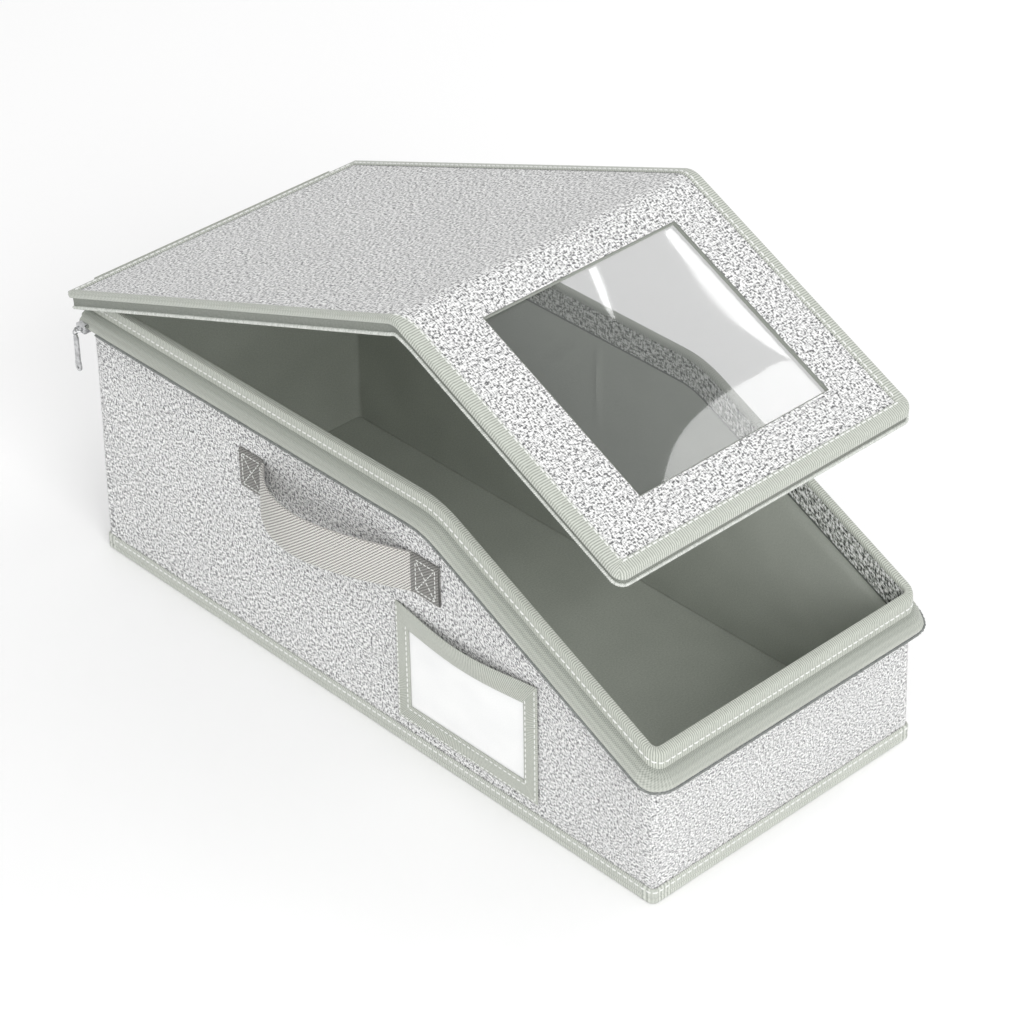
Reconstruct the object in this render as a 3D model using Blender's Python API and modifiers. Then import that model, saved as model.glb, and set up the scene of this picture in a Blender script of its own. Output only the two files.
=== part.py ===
"""Baseball cap carrier case.

A long box of linen-covered board with a sloped front. Its lid is two boards that fold at a
crease, the front one with a clear window. A zip runs round the rim, and the left wall has a
webbing handle and an open-topped card pocket.

Axes: +X right, the front of the case at -Y, the back at +Y, +Z up. The origin is the centre
of the base, on the floor. Metres throughout.
"""
import math

import bmesh
import bpy
from mathutils import Vector

# Case body, outside sizes
WIDTH = 0.220
LENGTH = 0.500
BACK_HEIGHT = 0.193
FRONT_HEIGHT = 0.108
FLAT_TOP = 0.3245
BEND_RADIUS = 0.070
BEND_STEPS = 5

# Boards, cloths and the gap left between pieces
BOARD = 0.003
LINING = 0.001
CLEARANCE = 0.0003

# Rim: ribbed binding, and the linen facing under it inside
BINDING = 0.001
BINDING_LEG = 0.010
FACING_DEPTH = 0.018

# Foot binding
FOOT_BINDING = 0.0012
FOOT_BINDING_TOP = 0.012
FOOT_BINDING_LIFT = 0.0004

# Zip tape of the body, folded out and down from the foot of the rim binding
TAPE = 0.0008
BODY_TAPE_WIDTH = 0.0115
BODY_TAPE_TILT = math.radians(45.0)
COIL_RADIUS = 0.0012
CORNER_STEPS = 5
COIL_SIDES = 8

# Zip slider and its pull
SLIDER_ACROSS = 0.007
SLIDER_ALONG = 0.009
SLIDER_TALL = 0.006
SLIDER_BEVEL = 0.0012
SLIDER_FROM_BACK = 0.0055
SLOT_CLEARANCE = 0.00035
CROWN_REACH = 0.0034
CROWN_SPAN = 0.0056
CROWN_WIRE = 0.0006
EYE_RADIUS = 0.0019
EYE_WIRE = 0.0005
PULL_LENGTH = 0.027
PULL_WIDTH = 0.0042
PULL_END_WIDTH = 0.0056
PULL_THICKNESS = 0.0012
PULL_HOLE = 0.0011

# Cloth hinge at the back
HINGE_STRIP = 0.0008
HINGE_STRIP_DEPTH = 0.026
HINGE_STRIP_SIDE = 0.012

# Lid
OPENING = math.radians(20.5)
UPRIGHT = math.radians(90.0)
LID_BOARD = 0.003
SIDE_OVERHANG = 0.0105
FRONT_OVERHANG = 0.0035
BACK_OVERHANG = 0.0022
LID_BINDING = 0.0008
LID_TOP_LEG = 0.012
LID_SIDE_FOOT_LEG = 0.0088
LID_END_FOOT_LEG = 0.0018
LID_CORNER = 0.008
SKIRT_DEPTH = 0.0068

# Window in the lid's front board, and its film
WINDOW_LEFT = 0.0485
WINDOW_RIGHT = 0.0385
WINDOW_FROM_FOLD = 0.024
WINDOW_FROM_FRONT = 0.0355
WINDOW_FILM = 0.0006
WINDOW_LAP = 0.006

# Handle on the left wall
HANDLE_WEB = 0.028
HANDLE_THICKNESS = 0.002
HANDLE_BACK_END = 0.147
HANDLE_LENGTH = 0.179
HANDLE_TAB = 0.023
HANDLE_BOW = 0.024
HANDLE_PEAK = 0.39
HANDLE_DROP = 0.059
HANDLE_STEPS = 22

# Card pocket on the left wall
LABEL_FROM_FRONT = 0.093
LABEL_LENGTH = 0.121
LABEL_RISE = 0.007
LABEL_BELOW_HANDLE = 0.015
LABEL_THICKNESS = 0.0008
LABEL_SIDE_RIBBON = 0.0115
LABEL_FOOT_RIBBON = 0.0125
LABEL_TOP_RIBBON = 0.0155
LABEL_CARD = 0.0005
LABEL_CARD_LAP = 0.004

# Values that follow from the sizes above
LEFT, RIGHT = -WIDTH / 2, WIDTH / 2
FRONT, BACK = -LENGTH / 2, LENGTH / 2
BEND_Y = BACK - FLAT_TOP
SLOPE = math.atan2(BACK_HEIGHT - FRONT_HEIGHT, BEND_Y - FRONT)
SLOPE_LENGTH = (BEND_Y - FRONT) / math.cos(SLOPE)
FACING_TOP = BINDING_LEG + CLEARANCE
LINING_TOP = FACING_TOP + FACING_DEPTH + CLEARANCE
LINING_OUT = -BOARD - CLEARANCE
HINGE_Y = BACK + BINDING + HINGE_STRIP + 3 * CLEARANCE
HINGE_Z = BACK_HEIGHT - LID_BINDING - CLEARANCE
LID_RISE = CLEARANCE + LID_BOARD
LID_FOOT = BACK_HEIGHT + CLEARANCE - HINGE_Z
LID_TOP = LID_FOOT + LID_BOARD
FOLD_REACH = HINGE_Y - BEND_Y + LID_RISE * math.tan(SLOPE / 2)
FOLD_MAX = SLOPE + UPRIGHT
FOLD_MITRE = math.tan(FOLD_MAX / 2)
LID_HALF = WIDTH / 2 + SIDE_OVERHANG
FRONT_REACH = (SLOPE_LENGTH + LID_RISE * math.tan(SLOPE / 2)
               + FRONT_OVERHANG / math.cos(SLOPE) - LID_RISE * math.tan(SLOPE))
HANDLE_Z = BACK_HEIGHT - HANDLE_DROP

COLOURS = {
    "linen": ((0.58, 0.58, 0.60), 0.9, 0.0),
    "binding": ((0.42, 0.45, 0.40), 0.85, 0.0),
    "lining": ((0.15, 0.16, 0.145), 0.9, 0.0),
    "webbing": ((0.37, 0.36, 0.35), 0.85, 0.0),
    "tape": ((0.45, 0.48, 0.43), 0.85, 0.0),
    "coil": ((0.10, 0.10, 0.10), 0.5, 0.0),
    "card": ((0.85, 0.85, 0.85), 0.6, 0.0),
    "film": ((0.80, 0.82, 0.82), 0.1, 0.0),
    "chrome": ((0.60, 0.60, 0.62), 0.2, 1.0),
}


def make_material(name):
    """Make the plain Principled material of one finish."""
    colour, roughness, metallic = COLOURS[name]
    material = bpy.data.materials.new(name)
    material.use_nodes = True
    shader = material.node_tree.nodes["Principled BSDF"]
    shader.inputs["Base Color"].default_value = (*colour, 1.0)
    shader.inputs["Roughness"].default_value = roughness
    shader.inputs["Metallic"].default_value = metallic
    return material


def finish(obj, finish_name, parent=None, smooth=False):
    """Put an object in the case's collection, with its material and parent."""
    for owner in list(obj.users_collection):
        owner.objects.unlink(obj)
    parts.objects.link(obj)
    obj.data.materials.clear()
    obj.data.materials.append(materials[finish_name])
    if parent is not None:
        obj.parent = parent
    if smooth:
        obj.data.shade_smooth()
        obj.data.set_sharp_from_angle(angle=math.radians(35.0))
    return obj


def add_box(name, low, high, finish_name, parent=None):
    """A board: a cube primitive stretched between two corners."""
    low, high = Vector(low), Vector(high)
    bpy.ops.mesh.primitive_cube_add(size=1.0, location=(low + high) / 2)
    obj = bpy.context.object
    obj.name = name
    obj.scale = high - low
    bpy.ops.object.transform_apply(location=False, rotation=False, scale=True)
    return finish(obj, finish_name, parent)


def mesh_from_curve(obj):
    """Turn a curve object into a welded mesh object of the same name and place."""
    bpy.context.view_layer.update()
    graph = bpy.context.evaluated_depsgraph_get()
    mesh = bpy.data.meshes.new_from_object(obj.evaluated_get(graph))
    matrix = obj.matrix_world.copy()
    name = obj.name
    bpy.data.objects.remove(obj)
    body = bmesh.new()
    body.from_mesh(mesh)
    bmesh.ops.remove_doubles(body, verts=body.verts, dist=0.00001)
    bmesh.ops.recalc_face_normals(body, faces=body.faces)
    body.to_mesh(mesh)
    body.free()
    made = bpy.data.objects.new(name, mesh)
    made.matrix_world = matrix
    return made


def add_outline(name, outlines, thickness, finish_name, parent=None):
    """A flat plate from closed outlines in its own XY plane; later outlines are holes.

    The plate is centred on its own z = 0.
    """
    curve = bpy.data.curves.new(name, "CURVE")
    curve.dimensions = "2D"
    curve.fill_mode = "BOTH"
    curve.extrude = thickness / 2
    curve.render_resolution_u = 0
    for outline in outlines:
        spline = curve.splines.new("POLY")
        spline.points.add(len(outline) - 1)
        for point, (u, v) in zip(spline.points, outline):
            point.co = (u, v, 0.0, 1.0)
        spline.use_cyclic_u = True
    made = mesh_from_curve(bpy.data.objects.new(name, curve))
    return finish(made, finish_name, parent)


def add_loft(name, rows, finish_name, parent=None, ring=False, smooth=False):
    """A solid whose section follows a path: one row of points for each corner of the section.

    A ring's path closes on itself; any other path gets a cap at each end.
    """
    body = bmesh.new()
    grid = [[body.verts.new(point) for point in row] for row in rows]
    count = len(grid[0])
    for low, high in zip(grid, grid[1:] + grid[:1]):
        for j in range(count if ring else count - 1):
            k = (j + 1) % count
            body.faces.new((low[j], low[k], high[k], high[j]))
    if not ring:
        body.faces.new([row[0] for row in grid])
        body.faces.new([row[-1] for row in reversed(grid)])
    bmesh.ops.recalc_face_normals(body, faces=body.faces)
    bmesh.ops.triangulate(body, faces=[face for face in body.faces if len(face.verts) > 4])
    mesh = bpy.data.meshes.new(name)
    body.to_mesh(mesh)
    body.free()
    return finish(bpy.data.objects.new(name, mesh), finish_name, parent, smooth)


def boolean(obj, other, operation):
    """Apply one exact Boolean and remove the other object."""
    modifier = obj.modifiers.new("boolean", "BOOLEAN")
    modifier.operation = operation
    modifier.object = other
    bpy.context.view_layer.update()
    graph = bpy.context.evaluated_depsgraph_get()
    mesh = bpy.data.meshes.new_from_object(obj.evaluated_get(graph))
    obj.modifiers.remove(modifier)
    obj.data = mesh
    bpy.data.objects.remove(other)


def slope_height(y, drop):
    """Height at y of a line that runs below the sloped rim, square to it."""
    return BACK_HEIGHT - (BEND_Y - y) * math.tan(SLOPE) - drop / math.cos(SLOPE)


def bend_arc(drop):
    """Places (y, z) round the rim's soft bend, from the flat part to the slope, below the rim."""
    centre_y = BEND_Y + BEND_RADIUS * math.tan(SLOPE / 2)
    centre_z = BACK_HEIGHT - BEND_RADIUS
    radius = BEND_RADIUS - drop
    turns = [SLOPE * step / BEND_STEPS for step in range(BEND_STEPS + 1)]
    return [(centre_y - radius * math.sin(turn), centre_z + radius * math.cos(turn)) for turn in turns]


def corner_arc(x_sign, out):
    """Points round a front corner of the case, seen from above, in walking order from the left."""
    points = []
    for step in range(CORNER_STEPS + 1):
        share = step / CORNER_STEPS if x_sign < 0 else 1 - step / CORNER_STEPS
        angle = share * math.pi / 2
        points.append((x_sign * (WIDTH / 2 + out * math.cos(angle)), FRONT - out * math.sin(angle)))
    return points


def rim_run(out, drop, left_start=BACK, right_end=BACK):
    """A line round the left side, front and right side of the rim, with rounded corners.

    out is how far it lies outside the wall face, and drop how far below the rim.
    """
    level = BACK_HEIGHT - drop
    left = [(LEFT - out, y, z) for y, z in [(left_start, level)] + bend_arc(drop)]
    right = [(RIGHT + out, y, z) for y, z in [(right_end, level)] + bend_arc(drop)]
    front = [(x, y, slope_height(FRONT, drop)) for x, y in corner_arc(-1, out) + corner_arc(1, out)]
    return [Vector(place) for place in left + front + right[::-1]]


def rim_ring(out, drop):
    """A closed line round the whole rim with square corners."""
    front = FRONT - out
    side = [(BACK + out, BACK_HEIGHT - drop)] + bend_arc(drop) + [(front, slope_height(front, drop))]
    left = [Vector((LEFT - out, y, z)) for y, z in side]
    right = [Vector((RIGHT + out, y, z)) for y, z in side]
    return left + right[::-1]


def foot_ring(out, z):
    """A closed line round the foot of the case."""
    side, end = WIDTH / 2 + out, LENGTH / 2 + out
    return [Vector((x, y, z)) for x, y in ((-side, end), (-side, -end), (side, -end), (side, end))]


def side_outline(inset, floor, drop):
    """Outline of a side wall or lining in the YZ plane."""
    front, back = FRONT + inset, BACK - inset
    return ([(back, floor), (front, floor), (front, slope_height(front, drop))]
            + bend_arc(drop)[::-1] + [(back, BACK_HEIGHT - drop)])


def add_side_panel(name, x, thickness, outline, finish_name):
    """A flat panel of a YZ outline that stands at x."""
    obj = add_outline(name, [outline], thickness, finish_name)
    obj.rotation_euler = (math.pi / 2, 0.0, math.pi / 2)
    obj.location = (x, 0.0, 0.0)
    return obj


def build_walls():
    """Base panel and the four linen-covered walls that stand on it."""
    add_box("base_panel", (LEFT, FRONT, 0.0), (RIGHT, BACK, BOARD), "linen")
    foot = BOARD + CLEARANCE
    top = BINDING + CLEARANCE
    outline = side_outline(0.0, foot, top)
    add_side_panel("left_wall", LEFT + BOARD / 2, BOARD, outline, "linen")
    add_side_panel("right_wall", RIGHT - BOARD / 2, BOARD, outline, "linen")
    inner = RIGHT - BOARD - CLEARANCE
    add_box("front_wall", (-inner, FRONT, foot), (inner, FRONT + BOARD, slope_height(FRONT, top)), "linen")
    add_box("back_wall", (-inner, BACK - BOARD, foot), (inner, BACK, BACK_HEIGHT - top), "linen")


def build_linings():
    """Lining panels inside the box, and the linen facing under the rim binding."""
    inset = BOARD + CLEARANCE
    floor = inset
    foot = floor + LINING + CLEARANCE
    side = RIGHT - inset
    end = BACK - inset
    add_box("floor_lining", (-side, -end, floor), (side, end, floor + LINING), "lining")
    outline = side_outline(inset, foot, LINING_TOP)
    add_side_panel("left_lining", -side + LINING / 2, LINING, outline, "lining")
    add_side_panel("right_lining", side - LINING / 2, LINING, outline, "lining")
    inner = side - LINING - CLEARANCE
    front_top, back_top = slope_height(-end, LINING_TOP), BACK_HEIGHT - LINING_TOP
    add_box("front_lining", (-inner, -end, foot), (inner, -end + LINING, front_top), "lining")
    add_box("back_lining", (-inner, end - LINING, foot), (inner, end, back_top), "lining")
    section = ((LINING_OUT, FACING_TOP), (LINING_OUT, LINING_TOP - CLEARANCE),
               (LINING_OUT - LINING, LINING_TOP - CLEARANCE), (LINING_OUT - LINING, FACING_TOP))
    add_loft("rim_facing", [rim_ring(out, drop) for out, drop in section], "linen", ring=True)


def build_bindings():
    """Ribbed binding wrapped over the rim, and the strip round the foot."""
    outer, inner = CLEARANCE + BINDING, LINING_OUT - BINDING
    section = ((outer, 0.0), (outer, BINDING_LEG), (CLEARANCE, BINDING_LEG), (CLEARANCE, BINDING),
               (LINING_OUT, BINDING), (LINING_OUT, BINDING_LEG), (inner, BINDING_LEG), (inner, 0.0))
    add_loft("rim_binding", [rim_ring(out, drop) for out, drop in section], "binding", ring=True)
    outer = CLEARANCE + FOOT_BINDING
    section = ((CLEARANCE, FOOT_BINDING_LIFT), (outer, FOOT_BINDING_LIFT),
               (outer, FOOT_BINDING_TOP), (CLEARANCE, FOOT_BINDING_TOP))
    add_loft("base_binding", [foot_ring(out, z) for out, z in section], "binding", ring=True)


def tape_point(reach, lift=0.0):
    """Place in the body tape's section, as (out, drop), reach along it and lift off its face."""
    across, down = math.cos(BODY_TAPE_TILT), math.sin(BODY_TAPE_TILT)
    root = BINDING_LEG + CLEARANCE
    return CLEARANCE + reach * across + lift * down, root + reach * down - lift * across


def build_body_zip():
    """Zip tape and coil round the rim, then the slider with its pull."""
    root_out, root_drop = tape_point(0.0)
    section = (tape_point(0.0), tape_point(BODY_TAPE_WIDTH), tape_point(BODY_TAPE_WIDTH, -TAPE),
               (root_out, root_drop + TAPE / math.cos(BODY_TAPE_TILT)))
    add_loft("body_zip_tape", [rim_run(out, drop) for out, drop in section], "tape", smooth=True)
    centre = tape_point(BODY_TAPE_WIDTH + CLEARANCE + COIL_RADIUS, -TAPE / 2)
    slider_y = BACK - SLIDER_FROM_BACK
    coil_start = slider_y - SLIDER_ALONG / 2 - CLEARANCE
    rows = []
    for side in range(COIL_SIDES):
        angle = 2 * math.pi * side / COIL_SIDES
        out = centre[0] + COIL_RADIUS * math.cos(angle)
        drop = centre[1] + COIL_RADIUS * math.sin(angle)
        rows.append(rim_run(out, drop, left_start=coil_start))
    add_loft("body_zip_coil", rows, "coil", smooth=True)
    build_slider(slider_y)


def build_slider(slider_y):
    """Slider that clasps the tape's free edge, with a crown wire, and the pull that hangs on it."""
    out, drop = tape_point(BODY_TAPE_WIDTH, -TAPE / 2)
    centre = Vector((LEFT - out, slider_y, BACK_HEIGHT - drop))
    bpy.ops.mesh.primitive_cube_add(size=1.0, location=centre)
    slider = bpy.context.object
    slider.name = "zip_slider"
    slider.scale = (SLIDER_ACROSS, SLIDER_ALONG, SLIDER_TALL)
    bpy.ops.object.transform_apply(location=False, rotation=False, scale=True)
    bevel = slider.modifiers.new("bevel", "BEVEL")
    bevel.width = SLIDER_BEVEL
    bevel.segments = 2
    bpy.ops.object.modifier_apply(modifier=bevel.name)

    slot_length = SLIDER_ACROSS * 2
    slot = Vector((slot_length, SLIDER_ALONG * 2, TAPE + 2 * SLOT_CLEARANCE))
    shift = slot_length / 2 - SLOT_CLEARANCE
    place = centre + Vector((shift * math.cos(BODY_TAPE_TILT), 0.0, shift * math.sin(BODY_TAPE_TILT)))
    bpy.ops.mesh.primitive_cube_add(size=1.0, location=place, rotation=(0.0, -BODY_TAPE_TILT, 0.0))
    cutter = bpy.context.object
    cutter.scale = slot
    boolean(slider, cutter, "DIFFERENCE")

    face = centre.x - SLIDER_ACROSS / 2
    bar_x = face - CROWN_REACH
    half = CROWN_SPAN / 2
    sink = SLIDER_BEVEL / 2
    route = ((face + sink, -half), (face - CROWN_REACH / 2, -half), (bar_x, -half / 2),
             (bar_x, half / 2), (face - CROWN_REACH / 2, half), (face + sink, half))
    wire = bpy.data.curves.new("crown", "CURVE")
    wire.dimensions = "3D"
    wire.bevel_depth = CROWN_WIRE
    wire.bevel_resolution = 2
    wire.use_fill_caps = True
    wire.render_resolution_u = 0
    spline = wire.splines.new("POLY")
    spline.points.add(len(route) - 1)
    for point, (x, y) in zip(spline.points, route):
        point.co = (x, slider_y + y, centre.z, 1.0)
    crown = mesh_from_curve(bpy.data.objects.new("crown", wire))
    parts.objects.link(crown)
    boolean(slider, crown, "UNION")
    finish(slider, "chrome", smooth=True)
    build_pull(Vector((bar_x, slider_y, centre.z)))


def build_pull(pivot):
    """Flat metal pull that hangs by its eye; its empty is on the crown wire's centre."""
    axis = bpy.data.objects.new("pull_axis", None)
    parts.objects.link(axis)
    axis.location = pivot
    hang = EYE_RADIUS - EYE_WIRE - CROWN_WIRE - CLEARANCE
    bpy.ops.mesh.primitive_torus_add(
        major_radius=EYE_RADIUS, minor_radius=EYE_WIRE, major_segments=20, minor_segments=8,
        location=(0.0, 0.0, -hang), rotation=(math.pi / 2, 0.0, 0.0))
    eye = bpy.context.object
    eye.name = "zip_pull"
    bpy.ops.object.transform_apply(location=True, rotation=True, scale=False)
    top = -hang - EYE_RADIUS
    end = top - PULL_LENGTH
    half, flare = PULL_WIDTH / 2, PULL_END_WIDTH / 2
    outline = [(-EYE_WIRE, top + EYE_WIRE / 2), (-half, top - half), (-half, end + 3 * flare),
               (-flare, end + 2 * flare)]
    outline += [(-flare * math.cos(a), end + flare - flare * math.sin(a))
                for a in (math.radians(30.0 * step) for step in range(0, 4))]
    outline += [(-u, v) for u, v in reversed(outline[:-1])]
    hole = [(PULL_HOLE * math.cos(a), end + flare + PULL_HOLE * math.sin(a))
            for a in (math.radians(30.0 * step) for step in range(12))]
    bar = add_outline("pull_bar", [outline, hole], PULL_THICKNESS, "chrome")
    bar.rotation_euler = (math.pi / 2, 0.0, math.pi / 2)
    boolean(eye, bar, "UNION")
    finish(eye, "chrome", parent=axis, smooth=True)


def build_hinge_strip():
    """Cloth strip up the back face that carries the lid's back edge."""
    low_y = BACK + BINDING + 2 * CLEARANCE
    side = RIGHT - HINGE_STRIP_SIDE
    add_box("hinge_strip", (-side, low_y, HINGE_Z - HINGE_STRIP_DEPTH),
            (side, low_y + HINGE_STRIP, HINGE_Z - CLEARANCE), "binding")


def handle_bow(y):
    """How far the strap stands off the wall at y: flat tabs with a bow that leans to the back."""
    back_end = BACK - HANDLE_BACK_END
    start = back_end - HANDLE_TAB
    span = HANDLE_LENGTH - 2 * HANDLE_TAB
    share = min(max((start - y) / span, 0.0), 1.0)
    lean = math.log(0.5) / math.log(HANDLE_PEAK)
    return HANDLE_BOW * math.sin(math.pi * share ** lean)


def build_handle():
    """Webbing strap sewn down at both ends and bowed out between them."""
    back_end = BACK - HANDLE_BACK_END
    start = back_end - HANDLE_TAB
    span = HANDLE_LENGTH - 2 * HANDLE_TAB
    ys = [back_end] + [start - span * step / HANDLE_STEPS for step in range(HANDLE_STEPS + 1)]
    ys.append(back_end - HANDLE_LENGTH)
    line = [Vector((LEFT - CLEARANCE - handle_bow(y), y)) for y in ys]
    outer = []
    for j, point in enumerate(line):
        before, after = line[max(j - 1, 0)], line[min(j + 1, len(line) - 1)]
        along = (after - before).normalized()
        outer.append(point + Vector((along.y, -along.x)) * HANDLE_THICKNESS)
    low, high = HANDLE_Z - HANDLE_WEB / 2, HANDLE_Z + HANDLE_WEB / 2
    rows = [[Vector((p.x, p.y, z)) for p in points]
            for points, z in ((line, low), (line, high), (outer, high), (outer, low))]
    add_loft("handle_strap", rows, "webbing", smooth=True)


def build_label():
    """Ribbon frame with a card behind it on the left wall, open at the top."""
    front = FRONT + LABEL_FROM_FRONT
    back = front + LABEL_LENGTH
    foot = FOOT_BINDING_TOP + LABEL_RISE
    top = HANDLE_Z - HANDLE_WEB / 2 - LABEL_BELOW_HANDLE
    outer = [(front, foot), (back, foot), (back, top), (front, top)]
    low, high = front + LABEL_SIDE_RIBBON, back - LABEL_SIDE_RIBBON
    sill, head = foot + LABEL_FOOT_RIBBON, top - LABEL_TOP_RIBBON
    hole = [(low, sill), (high, sill), (high, head), (low, head)]
    card_x = LEFT - CLEARANCE - LABEL_CARD
    frame_x = card_x - CLEARANCE - LABEL_THICKNESS / 2
    frame = add_outline("label_frame", [outer, hole], LABEL_THICKNESS, "binding")
    frame.rotation_euler = (math.pi / 2, 0.0, math.pi / 2)
    frame.location = (frame_x, 0.0, 0.0)
    lap = LABEL_CARD_LAP
    add_box("label_card", (card_x, low - lap, sill - lap), (LEFT - CLEARANCE, high + lap, head + lap), "card")


def lid_run(half, start, end, radius, height):
    """A line round one lid board: down the left side, across the end and back on the right.

    half is half its width, start and end its places along y, and radius that of its corners,
    which are square at a radius of 0.
    """
    toward = 1 if end > start else -1
    centre = end - toward * radius
    left = [(-half, end)]
    if radius > 0:
        turns = [math.pi / 2 * step / CORNER_STEPS for step in range(CORNER_STEPS + 1)]
        left = [(-half + radius - radius * math.cos(turn), centre + toward * radius * math.sin(turn))
                for turn in turns]
    plan = [(-half, start)] + left + [(-x, y) for x, y in reversed(left)] + [(half, start)]
    return [Vector((x, y, height)) for x, y in plan]


def fold_set_back(depth):
    """How far a lid piece ends short of the crease, by its depth below the crease's axis."""
    return CLEARANCE / 2 + max(depth, 0.0) * FOLD_MITRE


def lid_radius(inset):
    """Corner radius of a lid line that lies an inset inside the lid's edge."""
    return max(LID_CORNER - inset, CLEARANCE)


def binding_section():
    """Section of the lid binding, as (side inset, end inset, height above the board's top)."""
    cloth, air = LID_BINDING, CLEARANCE
    outer_top, inner_top = air + cloth, air
    inner_foot, outer_foot = -LID_BOARD - air, -LID_BOARD - air - cloth
    return ((0.0, 0.0, outer_top), (0.0, 0.0, outer_foot),
            (LID_SIDE_FOOT_LEG, LID_END_FOOT_LEG, outer_foot),
            (LID_SIDE_FOOT_LEG, LID_END_FOOT_LEG, inner_foot),
            (cloth, cloth, inner_foot), (cloth, cloth, inner_top),
            (LID_TOP_LEG, LID_TOP_LEG, inner_top), (LID_TOP_LEG, LID_TOP_LEG, outer_top))


def build_lid_rear(hinge):
    """Rear board of the lid with its binding, and the zip tape and coil along both sides."""
    edge = LID_BINDING + CLEARANCE
    half = LID_HALF - edge
    back = BACK_OVERHANG - edge
    crease = -FOLD_REACH
    low_end, top_end = crease + fold_set_back(LID_BOARD), crease + fold_set_back(0.0)
    outline = [(back, LID_FOOT), (back, LID_TOP), (top_end, LID_TOP), (low_end, LID_FOOT)]
    board = add_outline("lid_rear_board", [outline], 2 * half, "linen", parent=hinge)
    board.rotation_euler = (math.pi / 2, 0.0, math.pi / 2)

    rows = []
    for side, end, height in binding_section():
        start = crease + fold_set_back(-height)
        rows.append(lid_run(LID_HALF - side, start, BACK_OVERHANG - end, 0.0, LID_TOP + height))
    add_loft("lid_rear_binding", rows, "binding", parent=hinge)

    top = LID_FOOT - LID_BINDING - 2 * CLEARANCE
    foot = top - SKIRT_DEPTH
    for side_name, x_sign in (("left", -1), ("right", 1)):
        outer, inner = x_sign * LID_HALF, x_sign * (LID_HALF - TAPE)
        rows = []
        for x, z in ((outer, top), (outer, foot), (inner, foot), (inner, top)):
            crease_end = crease + fold_set_back(LID_TOP - z)
            rows.append([Vector((x, BACK_OVERHANG, z)), Vector((x, crease_end, z))])
        add_loft("lid_rear_tape_" + side_name, rows, "tape", parent=hinge)
        rows = []
        for x, z in coil_ring(x_sign * (LID_HALF - TAPE / 2), foot - CLEARANCE - COIL_RADIUS):
            crease_end = crease + fold_set_back(LID_TOP - z)
            rows.append([Vector((x, BACK_OVERHANG, z)), Vector((x, crease_end, z))])
        add_loft("lid_rear_coil_" + side_name, rows, "coil", parent=hinge, smooth=True)


def coil_ring(u, v):
    """Corners of the coil's round section about a centre."""
    turns = [2 * math.pi * side / COIL_SIDES for side in range(COIL_SIDES)]
    return [(u + COIL_RADIUS * math.cos(a), v + COIL_RADIUS * math.sin(a)) for a in turns]


def front_run(inset_side, inset_end, height):
    """A line round the front board; its front face stands plumb when the board is at rest."""
    end = -FRONT_REACH + inset_end / math.cos(SLOPE) + height * math.tan(SLOPE)
    return lid_run(LID_HALF - inset_side, -fold_set_back(-height), end, lid_radius(inset_side), height)


def build_lid_front(fold):
    """Front board of the lid with its window and film, binding, zip tape and coil."""
    edge = LID_BINDING / math.cos(SLOPE) + CLEARANCE
    half = LID_HALF - LID_BINDING - CLEARANCE
    end = -FRONT_REACH + edge
    outline = lid_run(half, -fold_set_back(0.0), end, lid_radius(edge), 0.0)
    left, right = -LID_HALF + WINDOW_LEFT, LID_HALF - WINDOW_RIGHT
    rear, front = -WINDOW_FROM_FOLD, -FRONT_REACH + WINDOW_FROM_FRONT
    hole = [(left, front), (right, front), (right, rear), (left, rear)]
    board = add_outline("lid_front_board", [[(p.x, p.y) for p in outline], hole], LID_BOARD, "linen",
                        parent=fold)
    board.location.z = -LID_BOARD / 2
    crease_end = -fold_set_back(0.0)
    for vertex in board.data.vertices:
        if vertex.co.z < 0 and abs(vertex.co.y - crease_end) < CLEARANCE:
            vertex.co.y -= LID_BOARD * FOLD_MITRE

    lap = WINDOW_LAP
    film_top = -LID_BOARD - CLEARANCE
    add_box("lid_window_film", (left - lap, front - lap, film_top - WINDOW_FILM),
            (right + lap, rear + lap, film_top), "film", parent=fold)

    rows = [front_run(side, end, height) for side, end, height in binding_section()]
    add_loft("lid_front_binding", rows, "binding", parent=fold)
    top = -LID_BOARD - LID_BINDING - 2 * CLEARANCE
    foot = top - SKIRT_DEPTH
    rows = [front_run(inset, inset, z) for inset, z in ((0.0, top), (0.0, foot), (TAPE, foot), (TAPE, top))]
    add_loft("lid_front_tape", rows, "tape", parent=fold)
    rows = [front_run(inset, inset, z) for inset, z in coil_ring(TAPE / 2, foot - CLEARANCE - COIL_RADIUS)]
    add_loft("lid_front_coil", rows, "coil", parent=fold, smooth=True)


def build_lid():
    """Both lid boards on empties that stand on their hinge axes, opened as the case is shown."""
    hinge = bpy.data.objects.new("lid_hinge_axis", None)
    parts.objects.link(hinge)
    hinge.location = (0.0, HINGE_Y, HINGE_Z)
    hinge.rotation_euler.x = -OPENING
    fold = bpy.data.objects.new("lid_fold_axis", None)
    parts.objects.link(fold)
    fold.parent = hinge
    fold.location = (0.0, -FOLD_REACH, LID_TOP)
    fold.rotation_euler.x = SLOPE + OPENING
    build_lid_rear(hinge)
    build_lid_front(fold)


for leftover in list(bpy.data.objects):
    bpy.data.objects.remove(leftover)
parts = bpy.data.collections.new("cap_carrier_case")
bpy.context.scene.collection.children.link(parts)
materials = {name: make_material(name) for name in COLOURS}

build_walls()
build_linings()
build_bindings()
build_body_zip()
build_hinge_strip()
build_handle()
build_label()
build_lid()
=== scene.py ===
"""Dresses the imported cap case: soft linen box, two-board lid with a window, zip, handle and label pocket."""

import logging
import math
from bisect import bisect_left
from collections.abc import Callable, Sequence
from dataclasses import dataclass, field
from enum import Enum
from typing import Protocol

import bmesh
import bpy
from mathutils import Matrix, Vector, noise


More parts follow.
